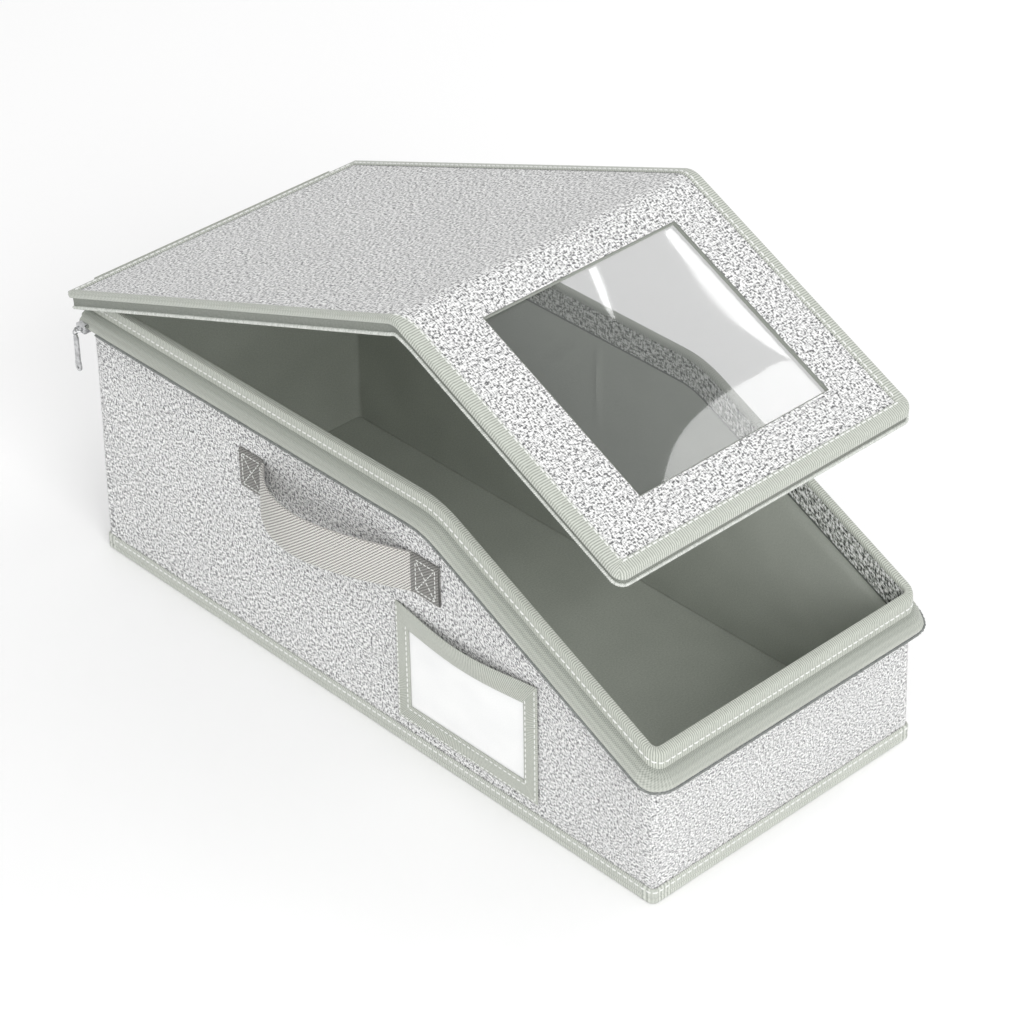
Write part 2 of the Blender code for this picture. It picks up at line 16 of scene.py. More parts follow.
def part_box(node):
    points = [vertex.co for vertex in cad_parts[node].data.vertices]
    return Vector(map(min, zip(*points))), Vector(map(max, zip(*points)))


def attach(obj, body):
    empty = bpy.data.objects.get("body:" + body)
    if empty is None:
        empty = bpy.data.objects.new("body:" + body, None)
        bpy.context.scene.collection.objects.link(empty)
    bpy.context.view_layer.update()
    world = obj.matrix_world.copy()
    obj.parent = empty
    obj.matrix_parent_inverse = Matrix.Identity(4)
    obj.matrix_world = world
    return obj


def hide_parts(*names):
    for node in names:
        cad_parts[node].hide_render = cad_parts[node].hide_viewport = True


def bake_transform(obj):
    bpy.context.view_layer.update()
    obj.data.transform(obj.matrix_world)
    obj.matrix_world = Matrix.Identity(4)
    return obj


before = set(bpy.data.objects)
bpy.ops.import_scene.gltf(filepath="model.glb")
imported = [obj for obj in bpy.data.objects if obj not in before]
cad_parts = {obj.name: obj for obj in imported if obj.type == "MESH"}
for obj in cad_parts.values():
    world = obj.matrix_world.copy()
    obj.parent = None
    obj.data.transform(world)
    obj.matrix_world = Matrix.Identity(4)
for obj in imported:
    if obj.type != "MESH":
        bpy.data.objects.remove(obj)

log = logging.getLogger("cap_case")
Socket = bpy.types.NodeSocket
Tone = tuple[int, int, int]
Line = list[Vector]
Place = tuple[float, float]
Material = bpy.types.Material

CLOTH_MAP = "cloth_metres"
MILLIMETRES = 1000.0
SMOOTH_BELOW = math.radians(40)
SAME_POINT = 2e-6
OFF_LEFT_WALL = Vector((-1.0, 0.0, 0.0))


class Body(Enum):
    """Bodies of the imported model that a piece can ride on."""

    CASE = "case"
    LID_REAR = "lid_rear"
    LID_FRONT = "lid_front"


class Slot(Enum):
    """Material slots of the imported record."""

    LINEN = "linen"
    BINDING = "binding"
    LINING = "lining"
    TAPE = "tape"
    WEBBING = "webbing"
    COIL = "coil"
    CARD = "card"
    FILM = "film"


class Side(Enum):
    """Sides of the lid, walked from the back-left corner."""

    LEFT = "left"
    FRONT = "front"
    RIGHT = "right"
    BACK = "back"


def paint(red: int, green: int, blue: int) -> tuple[float, float, float, float]:
    """Turns a display colour into the linear colour that a shader takes.

    Args:
        red: Red from 0 to 255.
        green: Green from 0 to 255.
        blue: Blue from 0 to 255.

    Returns:
        Linear red, green, blue and an alpha of 1.
    """
    shares = [channel / 255 for channel in (red, green, blue)]
    linear = [c / 12.92 if c <= 0.04045 else ((c + 0.055) / 1.055) ** 2.4 for c in shares]
    return linear[0], linear[1], linear[2], 1.0


def spread(start: float, end: float, step: float) -> list[float]:
    """Evenly spaced values from start to end, about a step apart.

    Args:
        start: First value.
        end: Last value.
        step: Wanted distance between values.

    Returns:
        The values, with both ends among them.
    """
    count = max(1, math.ceil(abs(end - start) / step - 1e-9))
    return [start + (end - start) * index / count for index in range(count + 1)]


def drift(x: float, y: float, z: float, size: float) -> float:
    """Smooth unevenness of cloth from -1 to 1; its bumps are about size across."""
    return noise.noise(Vector((x / size, y / size, z / size)))


def ease(value: float, low: float, high: float) -> float:
    """Soft step from 0 at low to 1 at high."""
    share = min(max((value - low) / (high - low), 0.0), 1.0)
    return share * share * (3.0 - 2.0 * share)


def section_lengths(section: Sequence[Place]) -> list[float]:
    """Length round a closed section at each of its corners.

    Args:
        section: Corners of the section.

    Returns:
        Lengths in metres; the last is the whole.
    """
    total = [0.0]
    for (a, b), (c, d) in zip(section, [*section[1:], section[0]]):
        total.append(total[-1] + math.hypot(c - a, d - b))
    return total


def walked_lengths(line: Line) -> list[float]:
    """Length walked along a line up to each of its points.

    Args:
        line: Points of the line.

    Returns:
        Lengths in metres, from 0.
    """
    total = [0.0]
    for before, after in zip(line, line[1:]):
        total.append(total[-1] + (after - before).length)
    return total


def walk_to(line: Line, lengths: Sequence[float], want: float) -> tuple[Vector, int]:
    """Finds a point by the length walked to it.

    Args:
        line: Points of the line.
        lengths: Length walked up to each of them.
        want: Length to walk.

    Returns:
        The point, and the number of the stretch that it lies on.
    """
    index = min(bisect_left(lengths, want, 1), len(lengths) - 1) - 1
    part = (want - lengths[index]) / max(lengths[index + 1] - lengths[index], 1e-9)
    return line[index].lerp(line[index + 1], part), index


def apart(line: Line, gap: float) -> Line:
    """Points of a line without those that lie within a gap of the one before.

    Args:
        line: Points of the line.
        gap: Least distance between two points.

    Returns:
        The points that are kept.
    """
    kept = [line[0]]
    for point in line[1:]:
        if (point - kept[-1]).length > gap:
            kept.append(point)
    return kept


def corners(first: Place, last: Place) -> list[Place]:
    """Corners of a rectangle from two opposite ones, round from the first."""
    return [first, (last[0], first[1]), last, (first[0], last[1])]


def strips(outer: Sequence[Place], inner: Sequence[Place]) -> list[tuple[Place, ...]]:
    """Mitred strips of a frame, each as outer start, outer end, inner start and inner end."""
    return [(outer[k], outer[(k + 1) % 4], inner[k], inner[(k + 1) % 4]) for k in range(4)]


def on_strip(ends: Sequence[Place], along: float, across: float) -> Place:
    """Place on a strip with mitred ends.

    Args:
        ends: Outer start, outer end, inner start and inner end of the strip.
        along: Share of the way along it.
        across: Share of the way across it, from its outer edge.

    Returns:
        The place.
    """
    a, b, c, d = ends
    first, second = ((a[k] + (b[k] - a[k]) * along) * (1 - across) + (c[k] + (d[k] - c[k]) * along) * across
                     for k in (0, 1))
    return first, second


class NodeBench:
    """Lays out the nodes of one material."""

    def __init__(self, name: str) -> None:
        """Starts an empty material.

        Args:
            name: Name of the material.
        """
        self.material = bpy.data.materials.new(name)
        self.material.use_nodes = True
        self.tree = self.material.node_tree
        self.tree.nodes.clear()

    def node(self, kind: str, **settings: object) -> bpy.types.Node:
        """Adds a node.

        Args:
            kind: Blender's name for the node.
            settings: Properties to set on it.

        Returns:
            The node.
        """
        node = self.tree.nodes.new(kind)
        for key, value in settings.items():
            setattr(node, key, value)
        return node

    def feed(self, target: Socket, value: object) -> None:
        """Links a socket to another, or sets its value.

        Args:
            target: Input socket.
            value: Output socket or plain value.
        """
        if isinstance(value, bpy.types.NodeSocket):
            self.tree.links.new(value, target)
        else:
            target.default_value = value

    def calc(self, operation: str, *values: object) -> Socket:
        """Adds a Math node.

        Args:
            operation: Its operation.
            values: Sockets or numbers for its inputs.

        Returns:
            Its output.
        """
        node = self.node("ShaderNodeMath", operation=operation)
        for target, value in zip(node.inputs, values):
            self.feed(target, value)
        return node.outputs[0]

    def ribs(self, place: Socket, pitch: float, wander: object = 0.0) -> Socket:
        """Even ridges from 0 in the groove to 1 on the rib.

        Args:
            place: Millimetres across the ribs.
            pitch: Distance from rib to rib.
            wander: Shift in millimetres, to make them uneven.

        Returns:
            The ridges.
        """
        turn = self.calc("MULTIPLY", self.calc("ADD", place, wander), 2 * math.pi / pitch)
        return self.calc("MULTIPLY_ADD", self.calc("SINE", turn), 0.5, 0.5)

    def tones(self, share: Socket, stops: Sequence[tuple[float, Tone]]) -> Socket:
        """Colour ramp.

        Args:
            share: Place on the ramp.
            stops: Places and display colours.

        Returns:
            The colour.
        """
        ramp = self.node("ShaderNodeValToRGB")
        elements = ramp.color_ramp.elements
        while len(elements) < len(stops):
            elements.new(0.5)
        for element, (place, colour) in zip(elements, stops):
            element.position = place
            element.color = paint(*colour)
        self.feed(ramp.inputs[0], share)
        return ramp.outputs[0]

    def relief(self, height: Socket, depth: float) -> Socket:
        """Bump from a height.

        Args:
            height: Height from 0 to 1.
            depth: What 1 stands for, in metres.

        Returns:
            The normal.
        """
        bump = self.node("ShaderNodeBump")
        bump.inputs["Strength"].default_value = 1.0
        bump.inputs["Distance"].default_value = depth
        self.feed(bump.inputs["Height"], height)
        return bump.outputs[0]

    def surface(self, **inputs: object) -> Material:
        """Ends the material in one Principled shader.

        Args:
            inputs: Its inputs by name, with _ for a space.

        Returns:
            The material.
        """
        shader = self.node("ShaderNodeBsdfPrincipled")
        for key, value in inputs.items():
            self.feed(shader.inputs[key.replace("_", " ")], value)
        output = self.node("ShaderNodeOutputMaterial")
        self.feed(output.inputs["Surface"], shader.outputs[0])
        return self.material


class ClothBench(NodeBench):
    """Lays out a material that follows the cloth's own coordinates, in millimetres along and across."""

    def __init__(self, name: str) -> None:
        """Starts the material with the cloth's coordinates.

        Args:
            name: Name of the material.
        """
        super().__init__(name)
        uv = self.node("ShaderNodeUVMap", uv_map=CLOTH_MAP)
        split = self.node("ShaderNodeSeparateXYZ")
        self.feed(split.inputs[0], uv.outputs[0])
        self.u, self.v = (self.calc("MULTIPLY", place, MILLIMETRES) for place in split.outputs[:2])

    def grain(self, along: float, across: float, layer: float, detail: float = 2.0) -> Socket:
        """Noise stretched to a thread's shape.

        Args:
            along: Size of a fleck along the cloth, in millimetres.
            across: Size of a fleck across it.
            layer: Depth in the noise, one for each use.
            detail: Finer octaves.

        Returns:
            Values about 0.5.
        """
        join = self.node("ShaderNodeCombineXYZ")
        self.feed(join.inputs[0], self.calc("DIVIDE", self.u, along))
        self.feed(join.inputs[1], self.calc("DIVIDE", self.v, across))
        join.inputs[2].default_value = layer
        texture = self.node("ShaderNodeTexNoise")
        texture.inputs["Scale"].default_value = 1.0
        texture.inputs["Detail"].default_value = detail
        self.feed(texture.inputs["Vector"], join.outputs[0])
        return texture.outputs[0]

    def wander(self, along: float, across: float, layer: float, reach: float) -> Socket:
        """Slow shift that makes ribs uneven.

        Args:
            along: Size of its waves along the cloth, in millimetres.
            across: Their size across it.
            layer: Depth in the noise.
            reach: Largest shift in millimetres.

        Returns:
            The shift.
        """
        return self.calc("MULTIPLY", self.grain(along, across, layer), reach)

    def clouded(self, colour: Socket, size: Place, layer: float, share: float, other: Tone) -> Socket:
        """Darkens a colour in soft clouds.

        Args:
            colour: The colour.
            size: Size of a cloud along and across, in millimetres.
            layer: Depth in the noise.
            share: How strongly they show.
            other: Display colour that is multiplied in.

        Returns:
            The colour.
        """
        cloud = self.grain(*size, layer, 1.0)
        mix = self.node("ShaderNodeMix", data_type="RGBA", blend_type="MULTIPLY")
        self.feed(mix.inputs[0], self.calc("MULTIPLY", cloud, share))
        self.feed(mix.inputs[6], colour)
        mix.inputs[7].default_value = paint(*other)
        return mix.outputs[2]


class Finish(Protocol):
    """Anything that builds a material."""

    def make(self) -> Material:
        """Builds the material."""


@dataclass(frozen=True)
class LinenFinish:
    """Pale slubbed linen with threads both ways."""

    name: str = "slubbed_linen"
    thread: float = 0.9
    slub_length: float = 2.6
    slub_width: float = 1.05
    slub_weight: float = 2.6
    fleck: float = 1.1
    fleck_weight: float = 1.4
    shift: float = 2.78
    dark: Tone = (98, 99, 100)
    middle: Tone = (212, 212, 212)
    light: Tone = (254, 254, 253)

    def make(self) -> Material:
        """Builds the material.

        Returns:
            The material.
        """
        bench = ClothBench(self.name)
        upright = bench.grain(self.slub_width, self.slub_length, 1.0)
        level = bench.grain(self.slub_length, self.slub_width, 5.0)
        fleck = bench.grain(self.fleck, self.fleck, 9.0, 1.0)
        slubs = bench.calc("ADD", upright, level)
        tone = bench.calc("MULTIPLY", fleck, self.fleck_weight)
        tone = bench.calc("SUBTRACT", bench.calc("MULTIPLY_ADD", slubs, self.slub_weight, tone), self.shift)
        warp = bench.ribs(bench.u, self.thread, upright)
        weft = bench.ribs(bench.v, self.thread, level)
        weave = bench.calc("MAXIMUM", bench.calc("MULTIPLY", warp, upright),
                           bench.calc("MULTIPLY", weft, level))
        tone = bench.calc("MULTIPLY_ADD", weave, 0.35, bench.calc("SUBTRACT", tone, 0.13))
        colour = bench.tones(tone, ((0.05, self.dark), (0.42, self.middle), (0.55, self.middle),
                                    (0.85, self.light)))
        colour = bench.clouded(colour, (60.0, 60.0), 20.0, 0.14, (150, 150, 152))
        height = bench.calc("MULTIPLY_ADD", tone, 0.7, weave)
        return bench.surface(Base_Color=colour, Roughness=0.92, Sheen_Weight=0.25, Sheen_Roughness=0.5,
                             Specular_IOR_Level=0.25, Normal=bench.relief(height, 0.0002))


@dataclass(frozen=True)
class RibbedFinish:
    """Ribbon with ribs across its length."""

    name: str = "ribbed_binding"
    pitch: float = 1.45
    groove: Tone = (136, 141, 132)
    rib: Tone = (206, 209, 200)
    depth: float = 0.00016

    def make(self) -> Material:
        """Builds the material.

        Returns:
            The material.
        """
        bench = ClothBench(self.name)
        ribs = bench.ribs(bench.u, self.pitch, bench.wander(6.0, 3.0, 2.0, 0.5))
        fibre = bench.grain(0.5, 2.2, 4.0)
        height = bench.calc("MULTIPLY_ADD", fibre, 0.35, ribs)
        tone = bench.calc("MULTIPLY_ADD", fibre, 0.55, bench.calc("MULTIPLY", ribs, 0.62))
        colour = bench.tones(tone, ((0.15, self.groove), (0.85, self.rib)))
        colour = bench.clouded(colour, (28.0, 9.0), 6.0, 0.16, (120, 126, 118))
        return bench.surface(Base_Color=colour, Roughness=0.8, Sheen_Weight=0.3, Sheen_Roughness=0.45,
                             Specular_IOR_Level=0.3, Normal=bench.relief(height, self.depth))


@dataclass(frozen=True)
class TapeFinish:
    """Twilled zip tape with fine ribs across it and long soft ridges; painted shade darkens it towards its
    root under the binding, so its free half is paler.
    """

    name: str = "zip_tape"
    pitch: float = 1.15
    # root: the tape's colour darkened with painted shade where it tucks under the binding; edge: its paler
    # free edge.
    root: Tone = (128, 133, 125)
    edge: Tone = (188, 191, 183)
    width: float = 11.8
    ridge: float = 3.7

    def make(self) -> Material:
        """Builds the material.

        Returns:
            The material.
        """
        bench = ClothBench(self.name)
        stripes = bench.ribs(bench.u, self.pitch, bench.wander(8.0, 3.0, 3.0, 0.6))
        fibre = bench.grain(1.6, 0.5, 7.0)
        twill = bench.ribs(bench.calc("ADD", bench.u, bench.v), 1.3)
        ridges = bench.ribs(bench.v, self.ridge, bench.wander(40.0, 9.0, 5.0, 1.6))
        # The share rises from the root to the free edge: painted shade at the root.
        share = bench.calc("MULTIPLY_ADD", ridges, 0.2, bench.calc("DIVIDE", bench.v, self.width * 2.2))
        share = bench.calc("MULTIPLY_ADD", stripes, 0.3, share)
        share = bench.calc("MULTIPLY_ADD", twill, 0.3, share)
        share = bench.calc("MULTIPLY_ADD", fibre, 0.5, bench.calc("SUBTRACT", share, 0.36))
        colour = bench.tones(share, ((0.05, self.root), (0.85, self.edge)))
        height = bench.calc("MULTIPLY_ADD", fibre, 0.3, bench.calc("MULTIPLY_ADD", twill, 0.5, stripes))
        return bench.surface(Base_Color=colour, Roughness=0.84, Sheen_Weight=0.2, Sheen_Roughness=0.5,
                             Specular_IOR_Level=0.25, Normal=bench.relief(height, 0.0002))


@dataclass(frozen=True)
class LiningFinish:
    """Plain woven lining in a grey green."""

    name: str = "woven_lining"
    thread: float = 0.6
    low: Tone = (164, 169, 160)
    high: Tone = (212, 216, 207)

    def make(self) -> Material:
        """Builds the material.

        Returns:
            The material.
        """
        bench = ClothBench(self.name)
        weave = bench.calc("MULTIPLY", bench.ribs(bench.u, self.thread), bench.ribs(bench.v, self.thread))
        fibre = bench.grain(1.2, 1.2, 8.0)
        tone = bench.calc("MULTIPLY_ADD", weave, 0.4, bench.calc("MULTIPLY", fibre, 0.6))
        colour = bench.tones(tone, ((0.1, self.low), (0.8, self.high)))
        colour = bench.clouded(colour, (45.0, 45.0), 12.0, 0.25, (130, 134, 128))
        return bench.surface(Base_Color=colour, Roughness=0.75, Sheen_Weight=0.2, Sheen_Roughness=0.5,
                             Specular_IOR_Level=0.35, Normal=bench.relief(tone, 0.00012))


@dataclass(frozen=True)
class WebbingFinish:
    """Twill webbing: steep diagonal ribs crossed by finer ones the other way."""

    name: str = "twill_webbing"
    pitch: float = 2.7
    groove: Tone = (70, 68, 64)
    rib: Tone = (226, 224, 219)

    def make(self) -> Material:
        """Builds the material.

        Returns:
            The material.
        """
        bench = ClothBench(self.name)
        wander = bench.wander(5.0, 3.0, 2.0, 0.5)
        ribs = bench.ribs(bench.calc("MULTIPLY_ADD", bench.v, 1.3, bench.u), self.pitch, wander)
        cross = bench.ribs(bench.calc("MULTIPLY_ADD", bench.v, -1.6, bench.u), self.pitch, wander)
        yarn = bench.grain(0.8, 0.8, 4.0)
        tone = bench.calc("MULTIPLY_ADD", cross, 0.22, bench.calc("MULTIPLY", ribs, 0.5))
        tone = bench.calc("MULTIPLY_ADD", yarn, 0.7, bench.calc("SUBTRACT", tone, 0.14))
        colour = bench.tones(tone, ((0.18, self.groove), (0.78, self.rib)))
        height = bench.calc("MULTIPLY_ADD", yarn, 0.4, bench.calc("MULTIPLY_ADD", cross, 0.4, ribs))
        return bench.surface(Base_Color=colour, Roughness=0.82, Sheen_Weight=0.2, Sheen_Roughness=0.5,
                             Specular_IOR_Level=0.3, Normal=bench.relief(height, 0.0003))


@dataclass(frozen=True)
class ThreadFinish:
    """Pale sewing thread with its twist."""

    name: str = "sewing_thread"
    low: Tone = (206, 208, 204)
    high: Tone = (248, 249, 247)

    def make(self) -> Material:
        """Builds the material.

        Returns:
            The material.
        """
        bench = ClothBench(self.name)
        twist = bench.ribs(bench.calc("ADD", bench.u, bench.v), 0.7)
        colour = bench.tones(twist, ((0.1, self.low), (0.8, self.high)))
        return bench.surface(Base_Color=colour, Roughness=0.55, Specular_IOR_Level=0.4,
                             Normal=bench.relief(twist, 0.00005))


@dataclass(frozen=True)
class CoilFinish:
    """Dull plastic of the zip's teeth; the default colours are darkened with painted shade."""

    name: str = "zip_coil"
    # Dark tones: the coil's grey darkened with painted shade under the rim binding.
    low: Tone = (92, 96, 94)
    high: Tone = (140, 144, 141)

    def make(self) -> Material:
        """Builds the material.

        Returns:
            The material.
        """
        bench = ClothBench(self.name)
        scuff = bench.grain(3.0, 1.0, 3.0)
        colour = bench.tones(scuff, ((0.3, self.low), (0.7, self.high)))
        rough = bench.calc("MULTIPLY_ADD", scuff, 0.25, 0.3)
        return bench.surface(Base_Color=colour, Roughness=rough, Specular_IOR_Level=0.5,
                             Normal=bench.relief(scuff, 0.00004))


@dataclass(frozen=True)
class CardFinish:
    """Bare white card with a faint tooth and soft clouds."""

    name: str = "label_card"
    low: Tone = (232, 233, 233)
    high: Tone = (250, 250, 249)

    def make(self) -> Material:
        """Builds the material.

        Returns:
            The material.
        """
        bench = ClothBench(self.name)
        tooth = bench.grain(0.7, 0.5, 3.0, 3.0)
        cloud = bench.grain(30.0, 22.0, 6.0, 1.0)
        tone = bench.calc("MULTIPLY_ADD", tooth, 0.6, bench.calc("MULTIPLY", cloud, 0.3))
        colour = bench.tones(tone, ((0.25, self.low), (0.75, self.high)))
        return bench.surface(Base_Color=colour, Roughness=0.62, Specular_IOR_Level=0.35,
                             Normal=bench.relief(tooth, 0.00004))


@dataclass(frozen=True)
class FilmFinish:
    """Clear plastic film with faint waves and scuffs."""

    name: str = "clear_film"
    body_share: float = 0.26
    tone: Tone = (96, 99, 98)

    def make(self) -> Material:
        """Builds the material: a smoky see-through sheet with a sharp gloss.

        Returns:
            The material.
        """
        bench = ClothBench(self.name)
        scuff = bench.grain(1.5, 6.0, 8.0, 3.0)
        wave = bench.grain(40.0, 60.0, 3.0, 1.0)
        rough = bench.calc("MULTIPLY_ADD", scuff, 0.04, 0.0)
        return bench.surface(Base_Color=paint(*self.tone), Alpha=self.body_share, Roughness=rough, IOR=1.8,
                             Specular_IOR_Level=0.5, Coat_Weight=1.0, Coat_Roughness=0.02,
                             Normal=bench.relief(wave, 0.00004))


@dataclass(frozen=True)
class ChromeFinish:
    """Plated metal with fine rub marks and darker worn patches."""

    name: str = "plated_metal"
    clean: Tone = (206, 207, 208)
    worn: Tone = (160, 161, 162)

    def make(self) -> Material:
        """Builds the material.

        Returns:
            The material.
        """
        bench = NodeBench(self.name)
        place = bench.node("ShaderNodeTexCoord")
        scale = bench.node("ShaderNodeVectorMath", operation="SCALE")
        scale.inputs["Scale"].default_value = MILLIMETRES
        bench.feed(scale.inputs[0], place.outputs["Object"])
        rub = bench.node("ShaderNodeTexNoise")
        rub.inputs["Scale"].default_value = 0.45
        rub.inputs["Detail"].default_value = 4.0
        bench.feed(rub.inputs["Vector"], scale.outputs[0])
        fine = bench.node("ShaderNodeTexNoise")
        fine.inputs["Scale"].default_value = 2.4
        bench.feed(fine.inputs["Vector"], scale.outputs[0])
        colour = bench.tones(rub.outputs[0], ((0.3, self.worn), (0.6, self.clean)))
        rough = bench.calc("MULTIPLY_ADD", rub.outputs[0], 0.2, 0.14)
        return bench.surface(Base_Color=colour, Metallic=1.0, Roughness=rough,
                             Normal=bench.relief(fine.outputs[0], 0.000008))


@dataclass(frozen=True)
class FloorFinish:
    """Plain pale studio floor."""

    name: str = "studio_floor"
    tone: Tone = (253, 253, 253)

    def make(self) -> Material:
        """Builds the material.

        Returns:
            The material.
        """
        bench = NodeBench(self.name)
        place = bench.node("ShaderNodeTexCoord")
        cloud = bench.node("ShaderNodeTexNoise")
        cloud.inputs["Scale"].default_value = 3.0
        bench.feed(cloud.inputs["Vector"], place.outputs["Object"])
        rough = bench.calc("MULTIPLY_ADD", cloud.outputs[0], 0.1, 0.8)
        return bench.surface(Base_Color=paint(*self.tone), Roughness=rough, Specular_IOR_Level=0.2)


def made(finish: Finish) -> Material:
    """Field that holds the material of a finish."""
    return field(default_factory=finish.make)


@dataclass
class Finishes:
    """One material of each finish, shared by the pieces."""

    linen: Material = made(LinenFinish())
    shaded_linen: Material = made(LinenFinish(name="shaded_linen", slub_length=3.4, slub_width=1.5,
                                              dark=(40, 43, 40), middle=(178, 182, 175)))
    binding: Material = made(RibbedFinish())
    slope_binding: Material = made(RibbedFinish(name="ribbed_edging", pitch=1.6,
                                                groove=(140, 145, 136), rib=(208, 211, 203)))
    foot_binding: Material = made(RibbedFinish(name="ribbed_foot_strip",
                                               groove=(150, 154, 146), rib=(214, 217, 209)))
    tape: Material = made(TapeFinish())
    # Darker copy of the zip tape: painted shade on the tape hanging under the lid's edge and on the window's
    # turned edge.
    shaded_tape: Material = made(TapeFinish(name="shaded_lid_tape", root=(112, 116, 109), edge=(158, 162, 154)))
    lining: Material = made(LiningFinish())
    # Darker copy of the lining: painted shade on the facing's turned edge inside the rim.
    shaded_hem: Material = made(LiningFinish(name="shaded_turned_edge", low=(70, 73, 70), high=(108, 112, 107)))
    webbing: Material = made(WebbingFinish())
    thread: Material = made(ThreadFinish())
    coil: Material = made(CoilFinish())
    pale_coil: Material = made(CoilFinish(name="pale_zip_coil", low=(172, 176, 170), high=(226, 228, 223)))
    # Darker copy of the webbing: painted shade on the flat sewn-down tabs.
    shaded_tab_webbing: Material = made(WebbingFinish(name="shaded_sewn_down_webbing",
                                               groove=(72, 72, 70), rib=(150, 149, 145)))
    card: Material = made(CardFinish())
    film: Material = made(FilmFinish())
    chrome: Material = made(ChromeFinish())


@dataclass(frozen=True)
class Stitch:
    """Size of a sewn dash: its length, the gap to the next and the radius of its thread."""

    length: float = 0.0033
    gap: float = 0.0013
    thick: float = 0.00056


EDGE_STITCH = Stitch()
LABEL_STITCH = Stitch(0.0026, 0.0013, 0.0004)
STRAP_STITCH = Stitch(0.0024, 0.0009, 0.00036)


class Draft:
    """Points, faces and cloth coordinates of a piece before it becomes a mesh."""

    def __init__(self) -> None:
        """Starts an empty draft."""
        self.points: list[Vector] = []
        self.faces: list[tuple[int, ...]] = []
        self.places: list[tuple[Place, ...]] = []

    def face(self, numbers: Sequence[int], places: Sequence[Place]) -> None:
        """Adds a face.

        Args:
            numbers: Numbers of its points.
            places: Cloth coordinates of its corners, in metres.
        """
        self.faces.append(tuple(numbers))
        self.places.append(tuple(places))

    def sweep(self, rows: Sequence[Line], along: Sequence[float] | Sequence[Sequence[float]],
              across: Sequence[float], closed_section: bool = True, closed_path: bool = False) -> None:
        """Adds a skin over rows of points.

        Args:
            rows: One line of points for each corner of the section.
            along: Cloth coordinate of each point of a row, or a list of them for each row.
            across: Cloth coordinate of each row; one more than the rows where the section closes.
            closed_section: Whether the last row joins the first; open ends are then capped.
            closed_path: Whether each row closes on itself; along then has one value more.
        """
        count, length = len(rows), len(rows[0])
        base = len(self.points)
        for row in rows:
            self.points.extend(row)
        shared = not isinstance(along[0], (list, tuple))
        for i in range(count if closed_section else count - 1):
            nearer, further = (along, along) if shared else (along[i], along[(i + 1) % count])
            other = (i + 1) % count
            for j in range(length if closed_path else length - 1):
                step = (j + 1) % length
                quad = (base + i * length + j, base + i * length + step,
                        base + other * length + step, base + other * length + j)
                self.face(quad, ((nearer[j], across[i]), (nearer[j + 1], across[i]),
                                 (further[j + 1], across[i + 1]), (further[j], across[i + 1])))
        if closed_section and not closed_path:
            for j, turned in ((0, False), (length - 1, True)):
                ring = [base + i * length + j for i in range(count)]
                spots = [(0.002 * math.cos(i), across[i]) for i in range(count)]
                if turned:
                    ring, spots = ring[::-1], spots[::-1]
                self.face(ring, spots)

    def slab(self, place: Callable[[int, int, int], Vector], columns: Sequence[float], rows: Sequence[float],
             is_open: Callable[[float, float], bool] | None = None) -> None:
        """Adds a closed sheet with a top, an underside and edges.

        Args:
            place: Gives a point from its column, its row and its face, 0 on top and 1 underneath.
            columns: Cloth coordinates of the columns.
            rows: Cloth coordinates of the rows.
            is_open: Tells from the middle of a cell whether it is left out.
        """
        base, wide, deep = len(self.points), len(columns), len(rows)
        kept = {(c, r) for c in range(wide - 1) for r in range(deep - 1)
                if is_open is None
                or not is_open((columns[c] + columns[c + 1]) / 2, (rows[r] + rows[r + 1]) / 2)}
        used = sorted({(c + a, r + b) for c, r in kept for a in (0, 1) for b in (0, 1)})
        number = {spot: base + 2 * index for index, spot in enumerate(used)}
        for c, r in used:
            self.points.extend((place(c, r, 0), place(c, r, 1)))
        for c, r in sorted(kept):
            ring = [(c, r), (c + 1, r), (c + 1, r + 1), (c, r + 1)]
            spots = [(columns[a], rows[b]) for a, b in ring]
            self.face([number[spot] for spot in ring], spots)
            self.face([number[spot] + 1 for spot in ring[::-1]], spots[::-1])
            for near, beside in enumerate(((c, r - 1), (c + 1, r), (c, r + 1), (c - 1, r))):
                if beside not in kept:
                    a, b = ring[near], ring[(near + 1) % 4]
                    edge = [(columns[a[0]], rows[a[1]]), (columns[b[0]], rows[b[1]])]
                    low = [(edge[0][0] + 0.001, edge[0][1]), (edge[1][0] + 0.001, edge[1][1])]
                    self.face([number[b], number[a], number[a] + 1, number[b] + 1],
                              [edge[1], edge[0], low[0], low[1]])

    def tube(self, line: Line, radius: Callable[[float], float], sides: int = 6) -> None:
        """Adds a round solid along a line.

        Args:
            line: Points of its middle.
            radius: Radius from the share of the way along.
            sides: Corners of its section.
        """
        rows: list[Line] = [[] for _ in range(sides)]
        lift = (line[-1] - line[0]).orthogonal().normalized()
        for index, point in enumerate(line):
            before, after = line[max(index - 1, 0)], line[min(index + 1, len(line) - 1)]
            ahead = (after - before).normalized()
            lift = (lift - ahead * lift.dot(ahead)).normalized()
            side = ahead.cross(lift)
            reach = radius(index / (len(line) - 1))
            for k in range(sides):
                angle = 2 * math.pi * k / sides
                rows[k].append(point + (lift * math.cos(angle) + side * math.sin(angle)) * reach)
        across = [2 * math.pi * radius(0.5) * k / sides for k in range(sides + 1)]
        self.sweep(rows, walked_lengths(line), across)

    def stitches(self, line: Line, lift: Callable[[int], Vector], kind: Stitch = EDGE_STITCH) -> None:
        """Adds a row of sewn dashes, each a small swelled thread half sunk in the cloth.

        Args:
            line: Points of the row, close together.
            lift: Direction off the cloth at a point of the line, by its number.
            kind: Size of the dashes.
        """
        def radius(share: float) -> float:
            """Radius along a dash, thin where it goes into the cloth."""
            return kind.thick * (0.35 + 0.65 * math.sin(math.pi * min(max(share, 0.04), 0.96)) ** 0.5)

